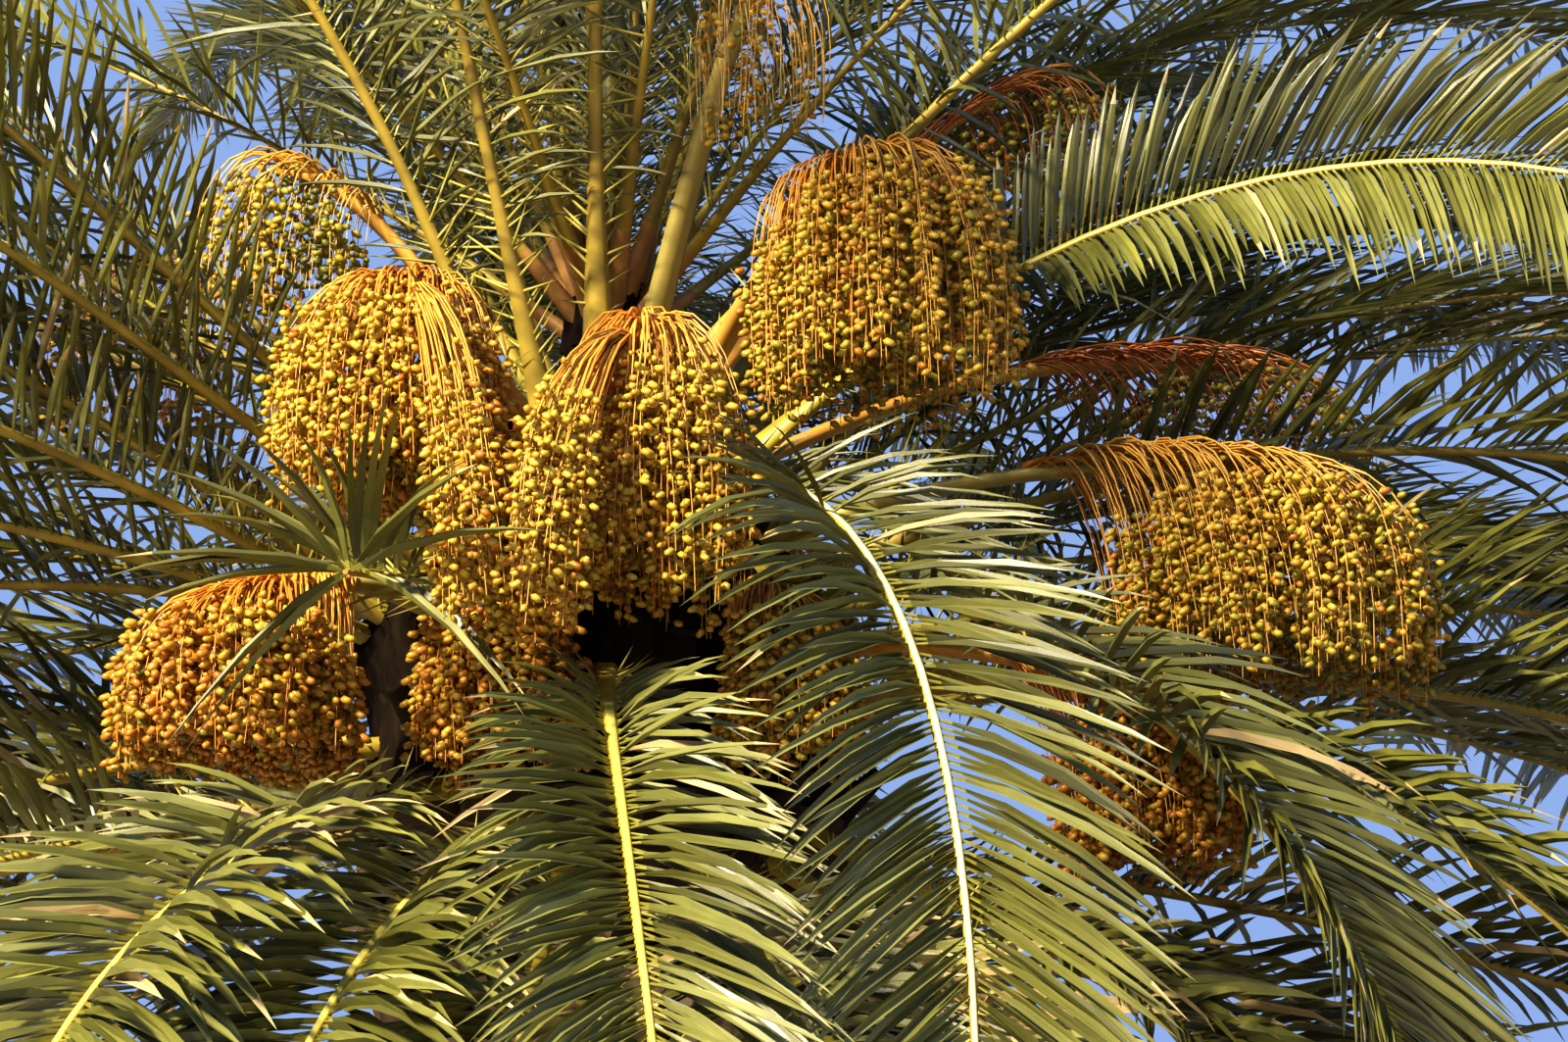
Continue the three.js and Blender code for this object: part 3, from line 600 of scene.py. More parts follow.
def inside_mops(points):
    """Whether each point lies in the space of a fruit bunch."""
    held = np.zeros(points.shape[:-1], bool)
    for bunch in BUNCHES.values():
        end = bunch["end"]
        down = (end[2] - points[..., 2]) / bunch["drop"]
        radius = profile_at(MOP_PROFILE, down)[0] * bunch["reach"] + MOP_ROOM
        apart = np.hypot(points[..., 0] - end[0], points[..., 1] - end[1])
        held |= (down > -0.16) & (down < 1.04) & (apart < radius)
    return held


def hits_limbs(points, beads):
    """Whether each point touches a limb's beads or the trunk."""
    apart = np.linalg.norm(points[:, None] - beads[0][None], axis=2)
    limb = np.any(apart < beads[1][None] + LIMB_ROOM, axis=1)
    trunk = np.hypot(points[:, 0], points[:, 1]) < trunk_radius(points[:, 2]) + TRUNK_ROOM
    return limb | (trunk & (points[:, 2] < GROWING_TIP))


def leaflet_shares(count, last, seed, rank):
    """Where leaflets leave the rib, closer together towards its tip."""
    ahead = (rank + 0.5 + 0.35 * wobble(seed + 0.1)) / count
    both = WIDE_SPACING + CLOSE_SPACING
    ahead *= (2 * WIDE_SPACING - (WIDE_SPACING - CLOSE_SPACING) * ahead) / both
    return mix(FIRST_LEAFLET, last, ahead)


def leaflet_tones(frond, index, seed, shaded):
    """The slots of leaflets and of their tips: old low fronds are dull, and their tips wither."""
    youth = np.clip((frond["base"] - 3.7) / 1.1, 0, 1)
    tone = mix(2.6, 3.6, youth) + 1.6 * wobble(index + 0.37) + 2.6 * wobble(seed + 0.9)
    tones = np.clip(np.round(tone - CURTAIN_SHADE * shaded), 1, LEAF_TONES).astype(int)
    withered = np.clip((WITHERED_BASE - frond["base"]) / 0.8, 0, 1)
    if frond.get("dry"):
        tones = np.where(chance(seed + 0.97) < 0.6, DRY_SLOT, LEAF_TONES)
    tones = np.where(chance(seed + 0.97) < 0.05 * withered, DRY_SLOT, tones)
    return tones, np.where(chance(seed + 0.95) < 0.06 + 0.16 * withered, DRY_SLOT, tones)


def frond_leaflets(net, frond, index, obstacles):
    """The real leaflets of one frond: two ranks of folded blades, in loose groups near the base."""
    fine = frond.get("near")
    last = frond.get("cut", LAST_LEAFLET)
    length = FROND_LENGTH * frond["size"]
    age = np.clip((OLD_BASE - frond["base"]) / 0.25, 0, 1)
    spacing = (WIDE_SPACING + CLOSE_SPACING) / 2 * (1 - 0.14 * age if fine else FAR_SPACING)
    count = int((last - FIRST_LEAFLET) * length / (spacing * frond.get("spacing", 1)))
    rank, side, seed = two_ranks(count, index * 1000.0)
    share = leaflet_shares(count, last, seed, rank)
    size, lean, lift = profile_at(LEAFLET_PROFILE, share)
    at = station_at(rib_line(frond), share)

    grouped = np.clip((0.62 - share) / 0.4, 0, 1)
    upright = np.clip((frond["rise"] - 14) / 30, 0, 1)
    loose = frond.get("loose", 1 + 0.9 * upright)
    if frond.get("combed"):
        loose = np.interp(share, [0.3, 0.5], [1, 0.3])
    plane = LEAFLET_PLANES[rank % 3] * grouped * loose + 22 * loose * wobble(seed + 0.2)
    lift = np.radians(lift + plane)
    lean = lean + 13 * loose * wobble(seed + 0.3) + FROND_LEANS[index % 3]
    direction = leaning(at, side, np.radians(lean) * frond.get("open", 1), lift)

    shaded = (direction[:, 2] > 0) & frond.get("curtain", False)
    reach = LEAFLET_LENGTH * size * (0.9 + 0.16 * chance(seed + 0.4)) * min(1, frond["size"] + 0.35)
    reach *= np.where(shaded, CURTAIN_TOP, frond.get("reach", 1))
    width = LEAFLET_WIDTH * (0.45 + 0.55 * size) * (0.85 + 0.3 * chance(seed + 0.7))
    width *= (1 - 0.22 * upright) * (1 + 0.35 * age)
    width *= frond.get("width", 1)
    limp = frond.get("limp", np.clip((8 - frond["rise"]) / 30, 0, 1) if fine else 0.3)
    turn = np.radians((24 + 40 * limp) * wobble(seed + 0.6) + 16)[:, None]
    side_way = at["along"] * np.cos(turn) - at["up"] * np.sin(turn) * 0.6
    droop = 0.05 + 0.1 * chance(seed + 0.8) + 0.08 * grouped + limp * 0.3 * chance(seed + 0.85) ** 2

    foot = at["point"] + at["across"] * (side * (rib_size(frond, share)[0] * RIB_FLANK))[:, None]
    drop = UP * (droop * reach)[:, None]
    middle = foot + direction * reach[:, None] * 0.5 - drop * 0.22
    tip = foot + direction * reach[:, None] - drop
    clear = is_free(middle, obstacles) & is_free(tip, obstacles)
    rows = (foot, direction, side_way, reach, width, droop, *leaflet_tones(frond, index, seed, shaded))
    blades(net, FINE_BLADE if fine else PLAIN_BLADE, *[row[clear] for row in rows])


# Ribs with spines

SLIM_RIB = 0.6  # a rib's width beyond its bare stalk, as a share of the solid's
# Corners of a rib or stalk, from its right shoulder over its flat top and round its belly
RIB_SECTION = np.array([(0.5, 0.1), (0.3, 0.5), (-0.3, 0.5), (-0.5, 0.1), (-0.26, -0.45), (0.26, -0.45)])
RIB_TOP, RIB_SIDE, RIB_UNDER, RIB_FOOT, RIB_WHITE = range(5)
PALE_FROM, FOOT_TO = 0.16, 0.035  # shares of a frond's length
SPINES_FROM, SPINES_TO = 0.055, 0.165
SPINE_SPACING = 0.026
SPINE_RADIUS = 0.0045


def rib_size(frond, share):
    """Width and height of the fine rib: the solid's own on the bare stalk, slimmer between the leaflets."""
    slim = np.interp(share, [0.02, 0.17], [1, frond.get("slim", SLIM_RIB)]) * frond.get("girth", 1)
    return [size * slim for size in profile_at(RIB_PROFILE, share)]


def frond_rib(net, frond):
    """The rib: flat on top and rounded below, its top paler beyond the bare stalk."""
    last = frond.get("cut", 1)
    share = np.concatenate([np.linspace(0, 0.12, 6)[:-1], np.linspace(0.12, last, max(6, int(30 * last)))])
    at = station_at(rib_line(frond), share)
    width, height = rib_size(frond, share)
    if "cut" in frond:
        width, height = [size * np.interp(share / last, [0.8, 1], [1, 0.45]) for size in (width, height)]
    points = swept(at["point"], at["across"], at["up"], width, height, RIB_SECTION)
    sides = len(RIB_SECTION)
    faces = tube_faces(len(share), sides)
    ring, side = np.divmod(np.arange(len(faces)), sides)
    slots = np.where(side <= 2, RIB_SIDE, RIB_UNDER)
    top = RIB_WHITE if frond.get("pale_rib") else RIB_TOP
    slots = np.where((side == 1) & (share[ring] > PALE_FROM), top, slots)
    slots = np.where(share[ring] < FOOT_TO, RIB_FOOT, slots)
    net.add(points, [faces], [slots])
    net.add(points[-sides:], [[range(sides)]], [RIB_FOOT])


def frond_spines(net, frond, index):
    """The stiff spines that stand in place of leaflets on the upper part of the bare stalk."""
    span = SPINES_TO - SPINES_FROM
    count = int(span * (FROND_LENGTH * frond["size"]) / SPINE_SPACING)
    rank, side, seed = two_ranks(count, index * 500.0)
    seed = seed + 0.05
    share = SPINES_FROM + span * (rank + chance(seed)) / count
    at = station_at(rib_line(frond), share)
    lean, lift = 42 + 40 * chance(seed + 0.2), -30 + 95 * chance(seed + 0.3)
    direction = leaning(at, side, np.radians(lean), np.radians(lift))
    reach = (0.04 + 0.14 * ((share - SPINES_FROM) / span) ** 0.8) * (0.75 + 0.5 * chance(seed + 0.4))
    foot = at["point"] + at["across"] * (side * rib_size(frond, share)[0] * 0.4)[:, None]
    other = unit(np.cross(direction, at["along"]))
    third = unit(np.cross(direction, other))
    ring = [foot + SPINE_RADIUS * (other * math.cos(a) + third * math.sin(a)) for a in (0, 2.1, 4.2)]
    points = np.stack([*ring, foot + direction * reach[:, None]], 1).reshape(-1, 3)
    net.add(points, [batch([(0, 1, 3), (1, 2, 3), (2, 0, 3)], 4, len(foot))], [0])


# Fruit bunches

STRAND_RADIUS = 0.0029
STRAND_STATIONS = 10
STRAND_TAPER = ([0, 0.45, 0.62, 1], [1.25, 1, 0.5, 0.35])  # shares of its length and of its radius
STRAND_ORIGINS = (0.74, 0.97)  # shares of the stalk between which strands leave it
FRUIT_LENGTH = 0.0265
FRUIT_WIDTH = 0.0158
SWELL = {"orange": 1.08}  # of riper fruit
INNER_FRUIT = 0.6  # of a bunch's reach, inside which its fruit needs fewer faces
STILL_ON, CAPPED = 0.96, 0.3  # shares of the dates that haven't dropped, and that show their cap
# Bunches hung with strands that arch over from their neighbours
SHARED_MASS = {17: (1, 2)}
# Shares of gold, ochre, deep orange, olive and green fruit
FRUIT_TINTS = {
    "gold": (0.5, 0.3, 0.14, 0.05, 0.01),
    "orange": (0.22, 0.3, 0.4, 0.07, 0.01),
    "olive": (0.34, 0.24, 0.06, 0.3, 0.06),
    "green": (0.06, 0.1, 0.05, 0.4, 0.39),
    "young": (0.1, 0.08, 0, 0.5, 0.32),
}
# Slots of the commoner and the rarer strands
STRAND_TINTS = {
    "gold": (1, 0), "orange": (0, 1), "olive": (1, 0), "green": (3, 0), "young": (1, 2), "dry": (2, 1),
}
DRY_CARRYING = 0.5  # share of strands that carry fruit, under which a bunch has dried


def bezier(a, b, c, d, share):
    s = share[None, :, None]
    return (a[:, None] * (1 - s) ** 3 + b[:, None] * 3 * s * (1 - s) ** 2
            + c[:, None] * 3 * s ** 2 * (1 - s) + d[:, None] * s ** 3)


def strand_paths(number, count):
    """Each strand leaves the stalk's last stretch, arches over and hangs straight down."""
    bunch = BUNCHES[number]
    reach, drop = bunch["reach"], bunch["drop"]
    seed = number * 300.0 + np.arange(count)
    turn = 2 * math.pi * (np.arange(count) * GOLDEN_SHARE + 0.05 * chance(seed))
    out = ((np.arange(count) + 0.6) / count) ** 0.42
    radius = reach * mix(0.05, 0.97, out) * (0.94 + 0.1 * chance(seed + 0.2))
    level = np.stack([np.cos(turn), np.sin(turn), np.zeros(count)], 1)
    ahead = unit(bunch["end"] * np.array([1, 1, 0]))
    forward = (level @ ahead) * radius / reach
    inward = 0.5 - 0.5 * (level @ ahead)
    leaves = np.clip(mix(*STRAND_ORIGINS, forward) + 0.08 * wobble(seed + 0.3), 0.5, 1)
    origin = stalk_points(bunch, leaves)
    if number in SHARED_MASS:
        ends = np.array([stalk_points(BUNCHES[other], 0.96) for other in SHARED_MASS[number]])
        origin = ends[(level[:, 0] > 0).astype(int)]
    lobe = 0.5 + 0.5 * np.sin(turn * 3 + number * 2.1)
    depth = drop * (0.66 + 0.26 * chance(seed + 0.4) + 0.08 * lobe) * mix(0.84, 1, out)
    foot = bunch["end"] + level * radius[:, None] - UP * depth[:, None]
    rise = drop * (0.16 + 0.14 * chance(seed + 0.5))
    first = origin + (foot - origin) * [0.4, 0.4, 0] + UP * rise[:, None]
    second = foot + UP * (depth + 0.16 * drop * (1.1 - out))[:, None] + level * (radius * 0.12)[:, None]
    share = np.linspace(0, 1, STRAND_STATIONS)
    paths = bezier(origin, first, second, foot, share)
    sway = 0.01 * np.sin(share * 9 + seed[:, None] * 3) * share
    return paths + np.cross(level, UP)[:, None] * sway[..., None], out, inward, seed


def add_tubes(net, paths, radii, sides, slots):
    """Many tubes at once. paths (n, m, 3), radii (m,), slots (n,)."""
    count, stations = paths.shape[:2]
    across, other = across_pair(unit(np.gradient(paths, axis=1)))
    angle = 2 * math.pi * np.arange(sides) / sides
    offset = across[:, :, None] * np.cos(angle)[:, None] + other[:, :, None] * np.sin(angle)[:, None]
    points = paths[:, :, None] + offset * radii[None, :, None, None]
    faces = batch(tube_faces(stations, sides), stations * sides, count)
    net.add(points.reshape(-1, 3), [faces], [np.repeat(slots, (stations - 1) * sides)])


def date_shape(sides):
    """A small oval about the unit ball: its foot, two rings turned half a step apart, and its tip."""
    ring = 2 * math.pi * np.arange(sides) / sides
    rings = [(ring, 0.5), (ring + math.pi / sides, -0.5)]
    rows = [(0.92 * math.cos(a), 0.92 * math.sin(a), level) for turns, level in rings for a in turns]
    rows = [(0, 0, 1), *rows, (0, 0, -1)]
    last = 2 * sides + 1
    faces = []
    for k in range(sides):
        n = (k + 1) % sides
        a, b, c, d = 1 + k, 1 + n, 1 + sides + k, 1 + sides + n
        faces += [(0, a, b), (a, c, b), (b, c, d), (last, d, c)]
    return np.array(rows), np.array(faces)


def bunch_fruit(net, bunch, paths, out, inward, seed, per_strand):
    """Dates set alternately along the lower two thirds of the strands."""
    stations = paths.shape[1]
    seeds = seed[:, None]
    rank = np.arange(per_strand)[None]
    first = mix(0.44, 0.6, chance(seeds + 0.66)) + (0.1 + 0.24 * inward[:, None] ** 2) * out[:, None]
    share = mix(first, 0.995, (rank + 0.5 * chance(seeds + rank * 0.71)) / per_strand)
    place = share * (stations - 1)
    low = np.minimum(place.astype(int), stations - 2)
    part = (place - low)[..., None]
    strand = np.arange(len(paths))[:, None]
    spot = paths[strand, low] * (1 - part) + paths[strand, low + 1] * part
    along = unit(paths[strand, low + 1] - paths[strand, low])
    across, other = across_pair(along)
    turn = (rank * 2.4 + seeds)[..., None]
    outward = across * np.cos(turn) + other * np.sin(turn)
    sideways = other * np.cos(turn) - across * np.sin(turn)
    number = seeds * 1.37 + rank * 7.3
    kept = (chance(seeds * 3.1 + 0.5) < bunch["carrying"]) & (chance(number + 0.2) < STILL_ON)
    spread, depth, lower = np.broadcast_arrays(seeds, out[:, None], share)
    rows = (spot, along, outward, sideways, number, spread, depth, lower)
    spot, along, outward, sideways, number, spread, depth, lower = [row[kept] for row in rows]

    size = (0.86 + 0.26 * chance(number + 0.4)) * SWELL.get(bunch["tint"], 1)
    slant = (1.6 * wobble(number + 0.5))[:, None]
    axis = unit(outward + 0.45 * along + sideways * slant)
    stand_off = FRUIT_WIDTH * (0.3 + 0.9 * chance(number + 0.7)) * size
    centre = spot + outward * stand_off[:, None] + axis * (FRUIT_LENGTH * 0.4)
    side, third = across_pair(axis, (0.2, 0.9, 0.3))
    wide = (FRUIT_WIDTH / 2 * size)[:, None, None]
    tall = (FRUIT_LENGTH / 2 * size)[:, None, None]
    slots = fruit_slots(bunch["tint"], number, spread, lower, depth)
    for sides, chosen in ((4, depth >= INNER_FRUIT), (3, depth < INNER_FRUIT)):
        ball, faces = date_shape(sides)
        points = (side[chosen][:, None] * ball[:, :1] * wide[chosen]
                  + third[chosen][:, None] * ball[:, 1:2] * wide[chosen]
                  - axis[chosen][:, None] * ball[:, 2:] * tall[chosen])
        points = (points + centre[chosen][:, None]).reshape(-1, 3)
        capped = (chance(number[chosen] + 0.6) < CAPPED)[:, None] & np.any(faces == 0, axis=1)
        slot = np.where(capped, 0, slots[chosen][:, None]).ravel()
        net.add(points, [batch(faces, len(ball), len(capped))], [slot])


def fruit_slots(tint, number, strand, lower, depth):
    """Dates ripen strand by strand; fruit lower on a strand and nearer a bunch's middle draws the later,
    darker tints as painted shade.
    """
    shares = np.array(FRUIT_TINTS[tint])
    # Painted shade: lower fruit and fruit nearer the middle of a bunch are pushed towards the darker,
    # greener tints.
    shade = 0.3 * (lower - 0.7) + 0.35 * (0.75 - depth)
    draw = np.clip(0.62 * chance(strand + 0.8) + 0.38 * chance(number + 0.8) + shade, 0, 0.999)
    return 1 + np.searchsorted(np.cumsum(shares) / shares.sum(), draw)


def bunch_stalk(net, bunch, number):
    """The flat strap that carries a bunch, drawn in near its end where the strands leave it."""
    share = np.linspace(0, 1, 14)
    path = stalk_points(bunch, share)
    tangent = unit(np.gradient(path, axis=0))
    across = unit(np.cross(UP, tangent))
    width, height = profile_at(STALK_PROFILE, share)
    width *= np.interp(share, [0, 0.7, 1], [1, 1, 0.35])
    points = swept(path, across, np.cross(tangent, across), width, height, RIB_SECTION)
    net.add(points, [tube_faces(len(share), len(RIB_SECTION))], [number % 3 == 0])


# Trunk

SCARS_ROUND = 13
SCAR_PITCH = 0.062
TRUNK_SIDES, TRUNK_RINGS = 9 * SCARS_ROUND, 170
FLARE_HEIGHT = 0.3  # up to which the foot swells between its main roots
FLARE_LOBES = 5
FLARE_DEPTH = 0.05
SHEATH, SHEATH_HEIGHT, SHEATH_SPREAD = 0.13, 4.16, 0.17  # fibre that stands out between the frond bases
# Above SHADED_BARK the bark is painted darker for the shade of the crown.
SHADED_BARK, FIBRE = 3.5, 3.75  # heights where they start
BOOTS = 140
BOOT_HEIGHTS = (3.12, 4.24)
BOOT_LENGTHS = (0.1, 0.2)
BOOT_SLOPES = (58, 40)
BOOT_WIDTHS, BOOT_DEPTHS = (0.12, 0.06), (0.06, 0.032)  # at the foot and at the cut
BOOT_SECTION = np.array([
    (0.5, -0.1), (0.36, 0.42), (0, 0.5), (-0.36, 0.42), (-0.5, -0.1), (-0.25, -0.5), (0.25, -0.5),
])
BOOT_STATIONS = np.array([0, 0.3, 0.6, 0.85, 1])
BOOT_ROOM = 0.045  # that a leaf base leaves round ribs and stalks


def trunk_relief(turn, height):
    """Depth of the leaf-scar lattice: low diamonds with a sunken middle, in two interleaved ranks."""
    a = turn / (2 * math.pi) * SCARS_ROUND
    b = height / SCAR_PITCH
    far = []
    for shift in (0, 1):
        da = np.abs((a + shift * 0.5) % 1 - 0.5) * 2
        db = np.abs((b + shift) % 2 - 1)
        far.append(da + db)
    edge = 1 - np.minimum(*far)
    boss = np.clip(edge * 3.2, 0, 1) ** 0.6
    crater = np.clip((edge - 0.45) * 3.5, 0, 1)
    return 0.02 * boss - 0.009 * crater - 0.01


def trunk_piece():
    """The column with its flared foot, leaf scars and fibre, closed at both ends."""
    rings, sides = TRUNK_RINGS, TRUNK_SIDES
    heights, turns = np.linspace(0, GROWING_TIP, rings), np.linspace(0, 2 * math.pi, sides, endpoint=False)
    height, turn = np.meshgrid(heights, turns, indexing="ij")
    swell = np.clip((FLARE_HEIGHT - height) / FLARE_HEIGHT, 0, 1)
    flare = 1 + FLARE_DEPTH * np.cos(FLARE_LOBES * turn) * swell
    fade = np.clip(height / 0.5, 0.15, 1) * np.clip((4.6 - height) / 0.5, 0, 1)
    wander = 0.006 * np.sin(turn * 7 + height * 5) * np.sin(height * 13 + turn * 2)
    relief = trunk_relief(turn, height)
    sheath = SHEATH * np.exp(-((height - SHEATH_HEIGHT) / SHEATH_SPREAD) ** 2)
    radius = trunk_radius(height) * flare + (relief + wander) * fade + sheath
    points = np.stack([radius * np.cos(turn), radius * np.sin(turn), height], -1).reshape(-1, 3)
    faces = tube_faces(rings, sides)
    # Painted shade: the sunken middles of the scars and the bark above SHADED_BARK get the darkened bark,
    # and the fibre above FIBRE its near-black colour.
    groove = relief.ravel()[faces].mean(axis=1) < -0.004
    middle = points[faces][:, :, 2].mean(axis=1)
    slots = np.where(middle > FIBRE, 2, np.where(groove | (middle > SHADED_BARK), 1, 0))
    net = Net("trunk_bark", [BARK, BARK_PAINTED_SHADE, HEART_FIBRE_IN_PAINTED_SHADE])
    net.add(points, [faces], [slots])
    rim = np.arange(sides)
    fan = np.stack([(rim + 1) % sides, rim, np.full(sides, sides)], 1)
    net.add(np.vstack([points[:sides], [0, 0, 0]]), [fan], [0])
    net.add(np.vstack([points[-sides:], UP * GROWING_TIP]), [fan[:, [1, 0, 2]]], [2])
    net.make(["trunk"])


def leaf_bases(obstacles):
    """The cut bases of old fronds that stay on the swollen neck, pointing up and out."""
    # Their colours carry painted shade: browns darkened almost to black for the shade under the crown.
    net = Net("cut_leaf_bases", [BOOT, BOOT_CUT_PAINTED_SHADE, BOOT_DARK_PAINTED_SHADE])
    sides = len(BOOT_SECTION)
    kept_clear = (obstacles[0], obstacles[1] + BOOT_ROOM)
    for i in range(BOOTS):
        height = mix(*BOOT_HEIGHTS, i / (BOOTS - 1))
        turn = 2 * math.pi * ((i * GOLDEN_SHARE) % 1)
        length = mix(*BOOT_LENGTHS, chance(i + 0.3)) * mix(0.75, 1, (height - 3.1))
        slope = math.radians(mix(*BOOT_SLOPES, chance(i + 0.5)))
        outward = np.array([math.cos(turn), math.sin(turn), 0])
        along = outward * math.cos(slope) + UP * math.sin(slope)
        across = np.array([-math.sin(turn), math.cos(turn), 0])
        foot = outward * (trunk_radius(height) - 0.04) + UP * height
        middle = foot + along * length * 0.6
        tip = foot + along * length
        if hits_limbs(np.array([middle, tip]) + outward * 0.03, kept_clear).any():
            continue
        width = mix(*BOOT_WIDTHS, BOOT_STATIONS) * mix(0.8, 1.15, chance(i + 0.7))
        path = foot + along * (length * BOOT_STATIONS)[:, None]
        up = np.cross(along, across)
        points = swept(path, across[None], up[None], width, mix(*BOOT_DEPTHS, BOOT_STATIONS), BOOT_SECTION)
        net.add(points, [tube_faces(len(BOOT_STATIONS), sides)], [2 if i % 4 == 0 else 0])
        net.add(points[-sides:], [[(0, side, side + 1) for side in range(1, sides - 1)]], [1])
    net.make()


# Colours that have a place on the tree

LEAF_TONES = 6
DRY_SLOT = LEAF_TONES + 1
LEAF_MATERIALS = [
    mottled("leaflet_foot", (0.28, 0.26, 0.045), 0.5, 0.2, 30),
    veined("leaf_deep", (0.055, 0.056, 0.01)),
    veined("leaf_dull", (0.1, 0.1, 0.018)),
    veined("leaf_mid", (0.16, 0.16, 0.03)),
    veined("leaf_grey", (0.21, 0.21, 0.055)),
    veined("leaf_fresh", (0.27, 0.265, 0.05)),
    veined("leaf_pale", (0.38, 0.37, 0.12)),
    veined("leaf_dry", (0.48, 0.36, 0.16), roughness=0.6),
]
RIB_MATERIALS = [
    mottled("rib_top", (0.52, 0.45, 0.1), 0.38, 0.18, 12, bump=0.1),
    mottled("rib_flank", (0.34, 0.26, 0.03), 0.5, 0.3, 10, bump=0.1),
    mottled("rib_under", (0.28, 0.2, 0.025), 0.5, 0.35, 12, bump=0.1),
    mottled("rib_foot", (0.36, 0.18, 0.045), 0.6, 0.35, 14, bump=0.3),
    mottled("rib_white", (0.6, 0.57, 0.34), 0.42, 0.15, 12, bump=0.1),
]
SPINE = mottled("spine", (0.34, 0.29, 0.05), 0.5, 0.3, 6)
STRAND_MATERIALS = [
    mottled("strand_orange", (0.56, 0.22, 0.025), 0.42, 0.2, 20),
    mottled("strand_gold", (0.6, 0.32, 0.05), 0.42, 0.2, 20),
    mottled("strand_pale", (0.56, 0.42, 0.17), 0.5, 0.2, 20),
    mottled("strand_rust", (0.42, 0.12, 0.02), 0.45, 0.25, 20),
]
STALK_MATERIALS = [
    mottled("stalk_gold", (0.5, 0.25, 0.04), 0.42, 0.28, 9, bump=0.15, stretch=(1, 1, 0.3)),
    mottled("stalk_olive", (0.34, 0.27, 0.06), 0.42, 0.28, 9, bump=0.15, stretch=(1, 1, 0.3)),
]
FRUIT_MATERIALS = [
    mottled("calyx", (0.56, 0.33, 0.04), 0.5, 0.2, 60),
    mottled("fruit_gold", (0.45, 0.3, 0.03), 0.34, 0.18, 45),
    mottled("fruit_ochre", (0.39, 0.215, 0.018), 0.34, 0.2, 45),
    mottled("fruit_deep", (0.37, 0.145, 0.012), 0.36, 0.22, 45),
    mottled("fruit_olive", (0.3, 0.235, 0.02), 0.36, 0.22, 45),
    mottled("fruit_green", (0.12, 0.12, 0.018), 0.4, 0.25, 45),
]
BARK = mottled("bark", (0.2, 0.15, 0.105), 0.9, 0.35, 14, bump=0.8, stretch=(1, 1, 0.5), detail=8)
# Painted shade: used in the sunken middles of the leaf scars and on all bark under the crown.
BARK_PAINTED_SHADE = mottled("bark_groove_painted_shade", (0.07, 0.05, 0.035), 0.95, 0.4, 22, bump=0.8, detail=8)
# Brown fibre darkened nearly to black: painted shade of the crown's heart. It is also used on the spear's
# foot and the trunk's top.
HEART_FIBRE_IN_PAINTED_SHADE = mottled(
    "heart_fibre_painted_shade", (0.012, 0.008, 0.005), 0.95, 0.5, 40, bump=1.0, stretch=(1, 1, 0.15), detail=8,
)
# Leaf bases: real browns darkened almost to black as painted shade under the crown. Every fourth base is
# darker still, and the cut ends are a little lighter.
BOOT = mottled("leaf_base", (0.028, 0.018, 0.01), 0.85, 0.35, 18, bump=0.5, stretch=(1, 1, 0.3), detail=6)
BOOT_DARK_PAINTED_SHADE = mottled(
    "leaf_base_old_painted_shade", (0.014, 0.01, 0.007), 0.9, 0.35, 18, bump=0.6, stretch=(1, 1, 0.3), detail=6,
)
BOOT_CUT_PAINTED_SHADE = mottled("leaf_base_cut_painted_shade", (0.05, 0.035, 0.022), 0.85, 0.25, 60, bump=0.4)

# The crown

near = near_fronds()
standing = [rib_beads(frond) for frond in near] + [bunch_beads(bunch) for bunch in BUNCHES.values()]
young = young_fronds(standing)
far = far_fronds(standing + [rib_beads(frond) for frond in young] + [spear_beads()])
all_fronds = near + far + young


def all_beads(skipped=None):
    """The beads of every rib but one, and of every stalk."""
    rows = [rib_beads(frond) for frond in all_fronds if frond is not skipped]
    return joined_beads(rows + [stalk_beads(bunch) for bunch in BUNCHES.values()])


def crown_group(label, fronds):
    """The leaflets, ribs and spines of some fronds, each kind as one piece."""
    leaflets = Net(f"leaflets_{label}", LEAF_MATERIALS)
    ribs = Net(f"ribs_{label}", RIB_MATERIALS)
    spines = Net(f"spines_{label}", [SPINE])
    for frond in fronds:
        index = all_fronds.index(frond)
        frond_leaflets(leaflets, frond, index, all_beads(frond))
        frond_rib(ribs, frond)
        frond_spines(spines, frond, index)
    names = sorted({frond["name"] for frond in fronds})
    leaflets.make(names, smooth=False)
    ribs.make()
    spines.make()


def spear_piece():
    """The unopened leaf in the middle of the crown, with the tip of the trunk that it stands on."""
    wide = trunk_radius(GROWING_TIP)
    profile = np.array([
        (wide, 0), (wide * 0.9, 0.09), (0.034, 0.24), (0.026, SPEAR_HEIGHT * 0.6), (0.002, SPEAR_HEIGHT),
    ])
    sides = 16
    radius, height = np.repeat(profile, sides, axis=0).T
    turn = np.tile(2 * math.pi * np.arange(sides) / sides, len(profile))
    radius = radius * (1 + 0.1 * np.cos(turn * 8))
    points = np.stack([radius * np.cos(turn), radius * np.sin(turn), GROWING_TIP + height], 1)
    faces = tube_faces(len(profile), sides)
    net = Net("spear", [LEAF_MATERIALS[5], HEART_FIBRE_IN_PAINTED_SHADE])
    net.add(points, [faces], [np.arange(len(faces)) < 2 * sides], np.stack([turn, height], 1))
    net.make()


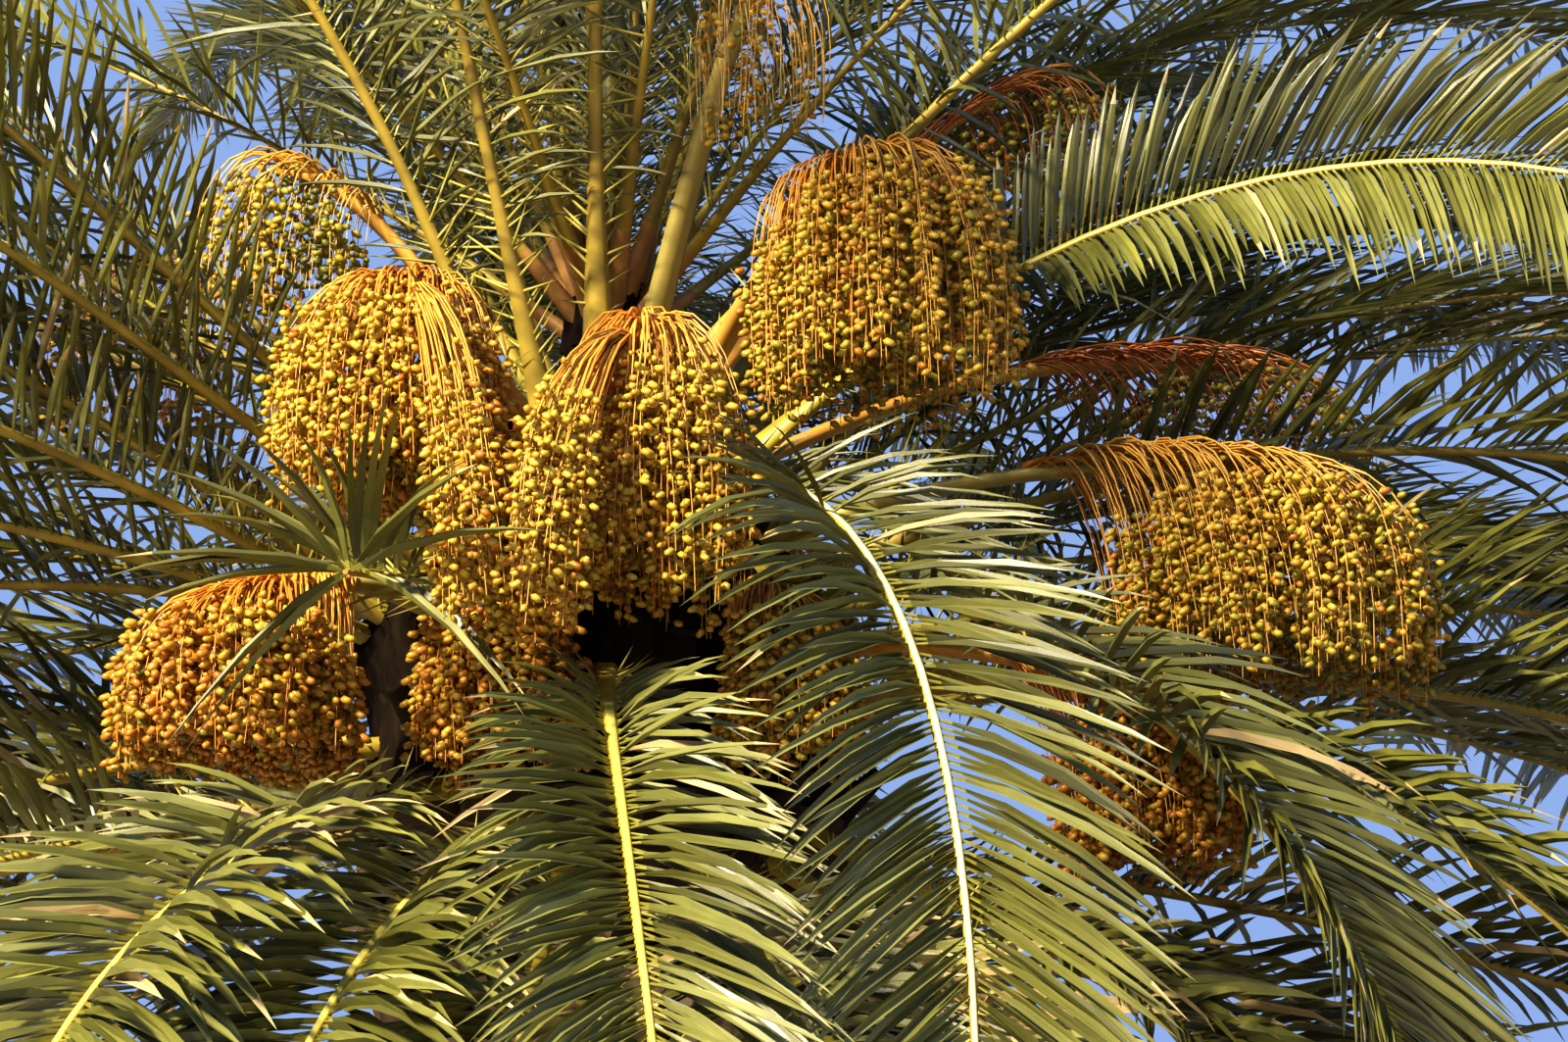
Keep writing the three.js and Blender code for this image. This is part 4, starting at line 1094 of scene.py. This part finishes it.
def bunch_group(label, numbers, strands_per_reach, per_strand):
    """The strands, fruit and stalks of some bunches, each kind as one piece."""
    strand_net = Net(f"strands_{label}", STRAND_MATERIALS)
    fruit_net = Net(f"dates_{label}", FRUIT_MATERIALS)
    stalk_net = Net(f"stalks_{label}", STALK_MATERIALS)
    shares = np.arange(STRAND_STATIONS) / (STRAND_STATIONS - 1)
    radii = STRAND_RADIUS * np.interp(shares, *STRAND_TAPER)
    for number in numbers:
        bunch = BUNCHES[number]
        paths, out, inward, seed = strand_paths(number, int(bunch["reach"] * strands_per_reach))
        common, rarer = STRAND_TINTS["dry" if bunch["carrying"] < DRY_CARRYING else bunch["tint"]]
        sector = np.floor(6 * ((np.arange(len(paths)) * GOLDEN_SHARE) % 1))
        tints = np.where(0.6 * chance(sector + number) + 0.4 * chance(seed + 0.9) < 0.62, common, rarer)
        add_tubes(strand_net, paths, radii, 3, tints)
        bunch_fruit(fruit_net, bunch, paths, out, inward, seed, per_strand)
        bunch_stalk(stalk_net, bunch, number)
    fruit_net.make([f"fruit_bunch_{number:02d}" for number in numbers])
    strand_net.make()
    stalk_net.make()


trunk_piece()
leaf_bases(all_beads())
half_way = 3 * FAR_GROUPS // 2
crown_group("near", near)
crown_group("far_low", far[:half_way])
crown_group("far_high", far[half_way:])
crown_group("young", young)
spear_piece()
bunch_group("left", (1, 2, 3, 4, 17), 760, 18)
bunch_group("right", (5, 6, 8, 9), 760, 18)
bunch_group("back", (7, 10, 11, 12, 13, 14, 15, 16), 320, 12)

# Floor, light and camera

EYE = (0.37, -11, 1.65)  # at standing height
AIM_HEIGHT = 4.4
LENS = 125.6


def floor():
    bpy.ops.mesh.primitive_circle_add(vertices=96, radius=40, fill_type="NGON", location=(0, 0, -0.002))
    ground = bpy.context.object
    ground.name = "floor"
    ground.data.materials.append(plain_material("floor_pale", (0.55, 0.48, 0.36), 0.85)[0])


def light(name, place, target, power, size, colour):
    data = bpy.data.lights.new(name, "AREA")
    data.energy, data.size, data.color = power, size, colour
    made = placed(name, data)
    made.location = place
    way = np.array(target) - np.array(place)
    made.rotation_euler = Vector(way).to_track_quat("-Z", "Y").to_euler()


def sky():
    world = bpy.data.worlds.new("pale_sky")
    world.use_nodes = True
    background = world.node_tree.nodes["Background"]
    background.inputs["Color"].default_value = (0.3, 0.44, 0.8, 1)
    background.inputs["Strength"].default_value = 0.9
    bpy.context.scene.world = world
    bpy.context.scene.view_settings.view_transform = "Standard"
    bpy.context.scene.view_settings.look = "Medium High Contrast"


def camera():
    """A long lens, aimed up at the heart of the crown."""
    data = bpy.data.cameras.new("camera")
    data.sensor_width, data.lens = 36, LENS
    made = placed("camera", data)
    made.location = EYE
    tilt = math.atan2(AIM_HEIGHT - EYE[2], -EYE[1])
    made.rotation_euler = (math.pi / 2 + tilt, 0, 0)
    bpy.context.scene.camera = made


floor()
sky()
camera()
light("key", (-8, -11, 12), (0.2, -0.3, 4.3), power=8200, size=1.2, colour=(1, 0.88, 0.68))
light("fill", (6, -13, 1.5), (0.2, 0, 4.4), power=120, size=7, colour=(1, 0.84, 0.6))
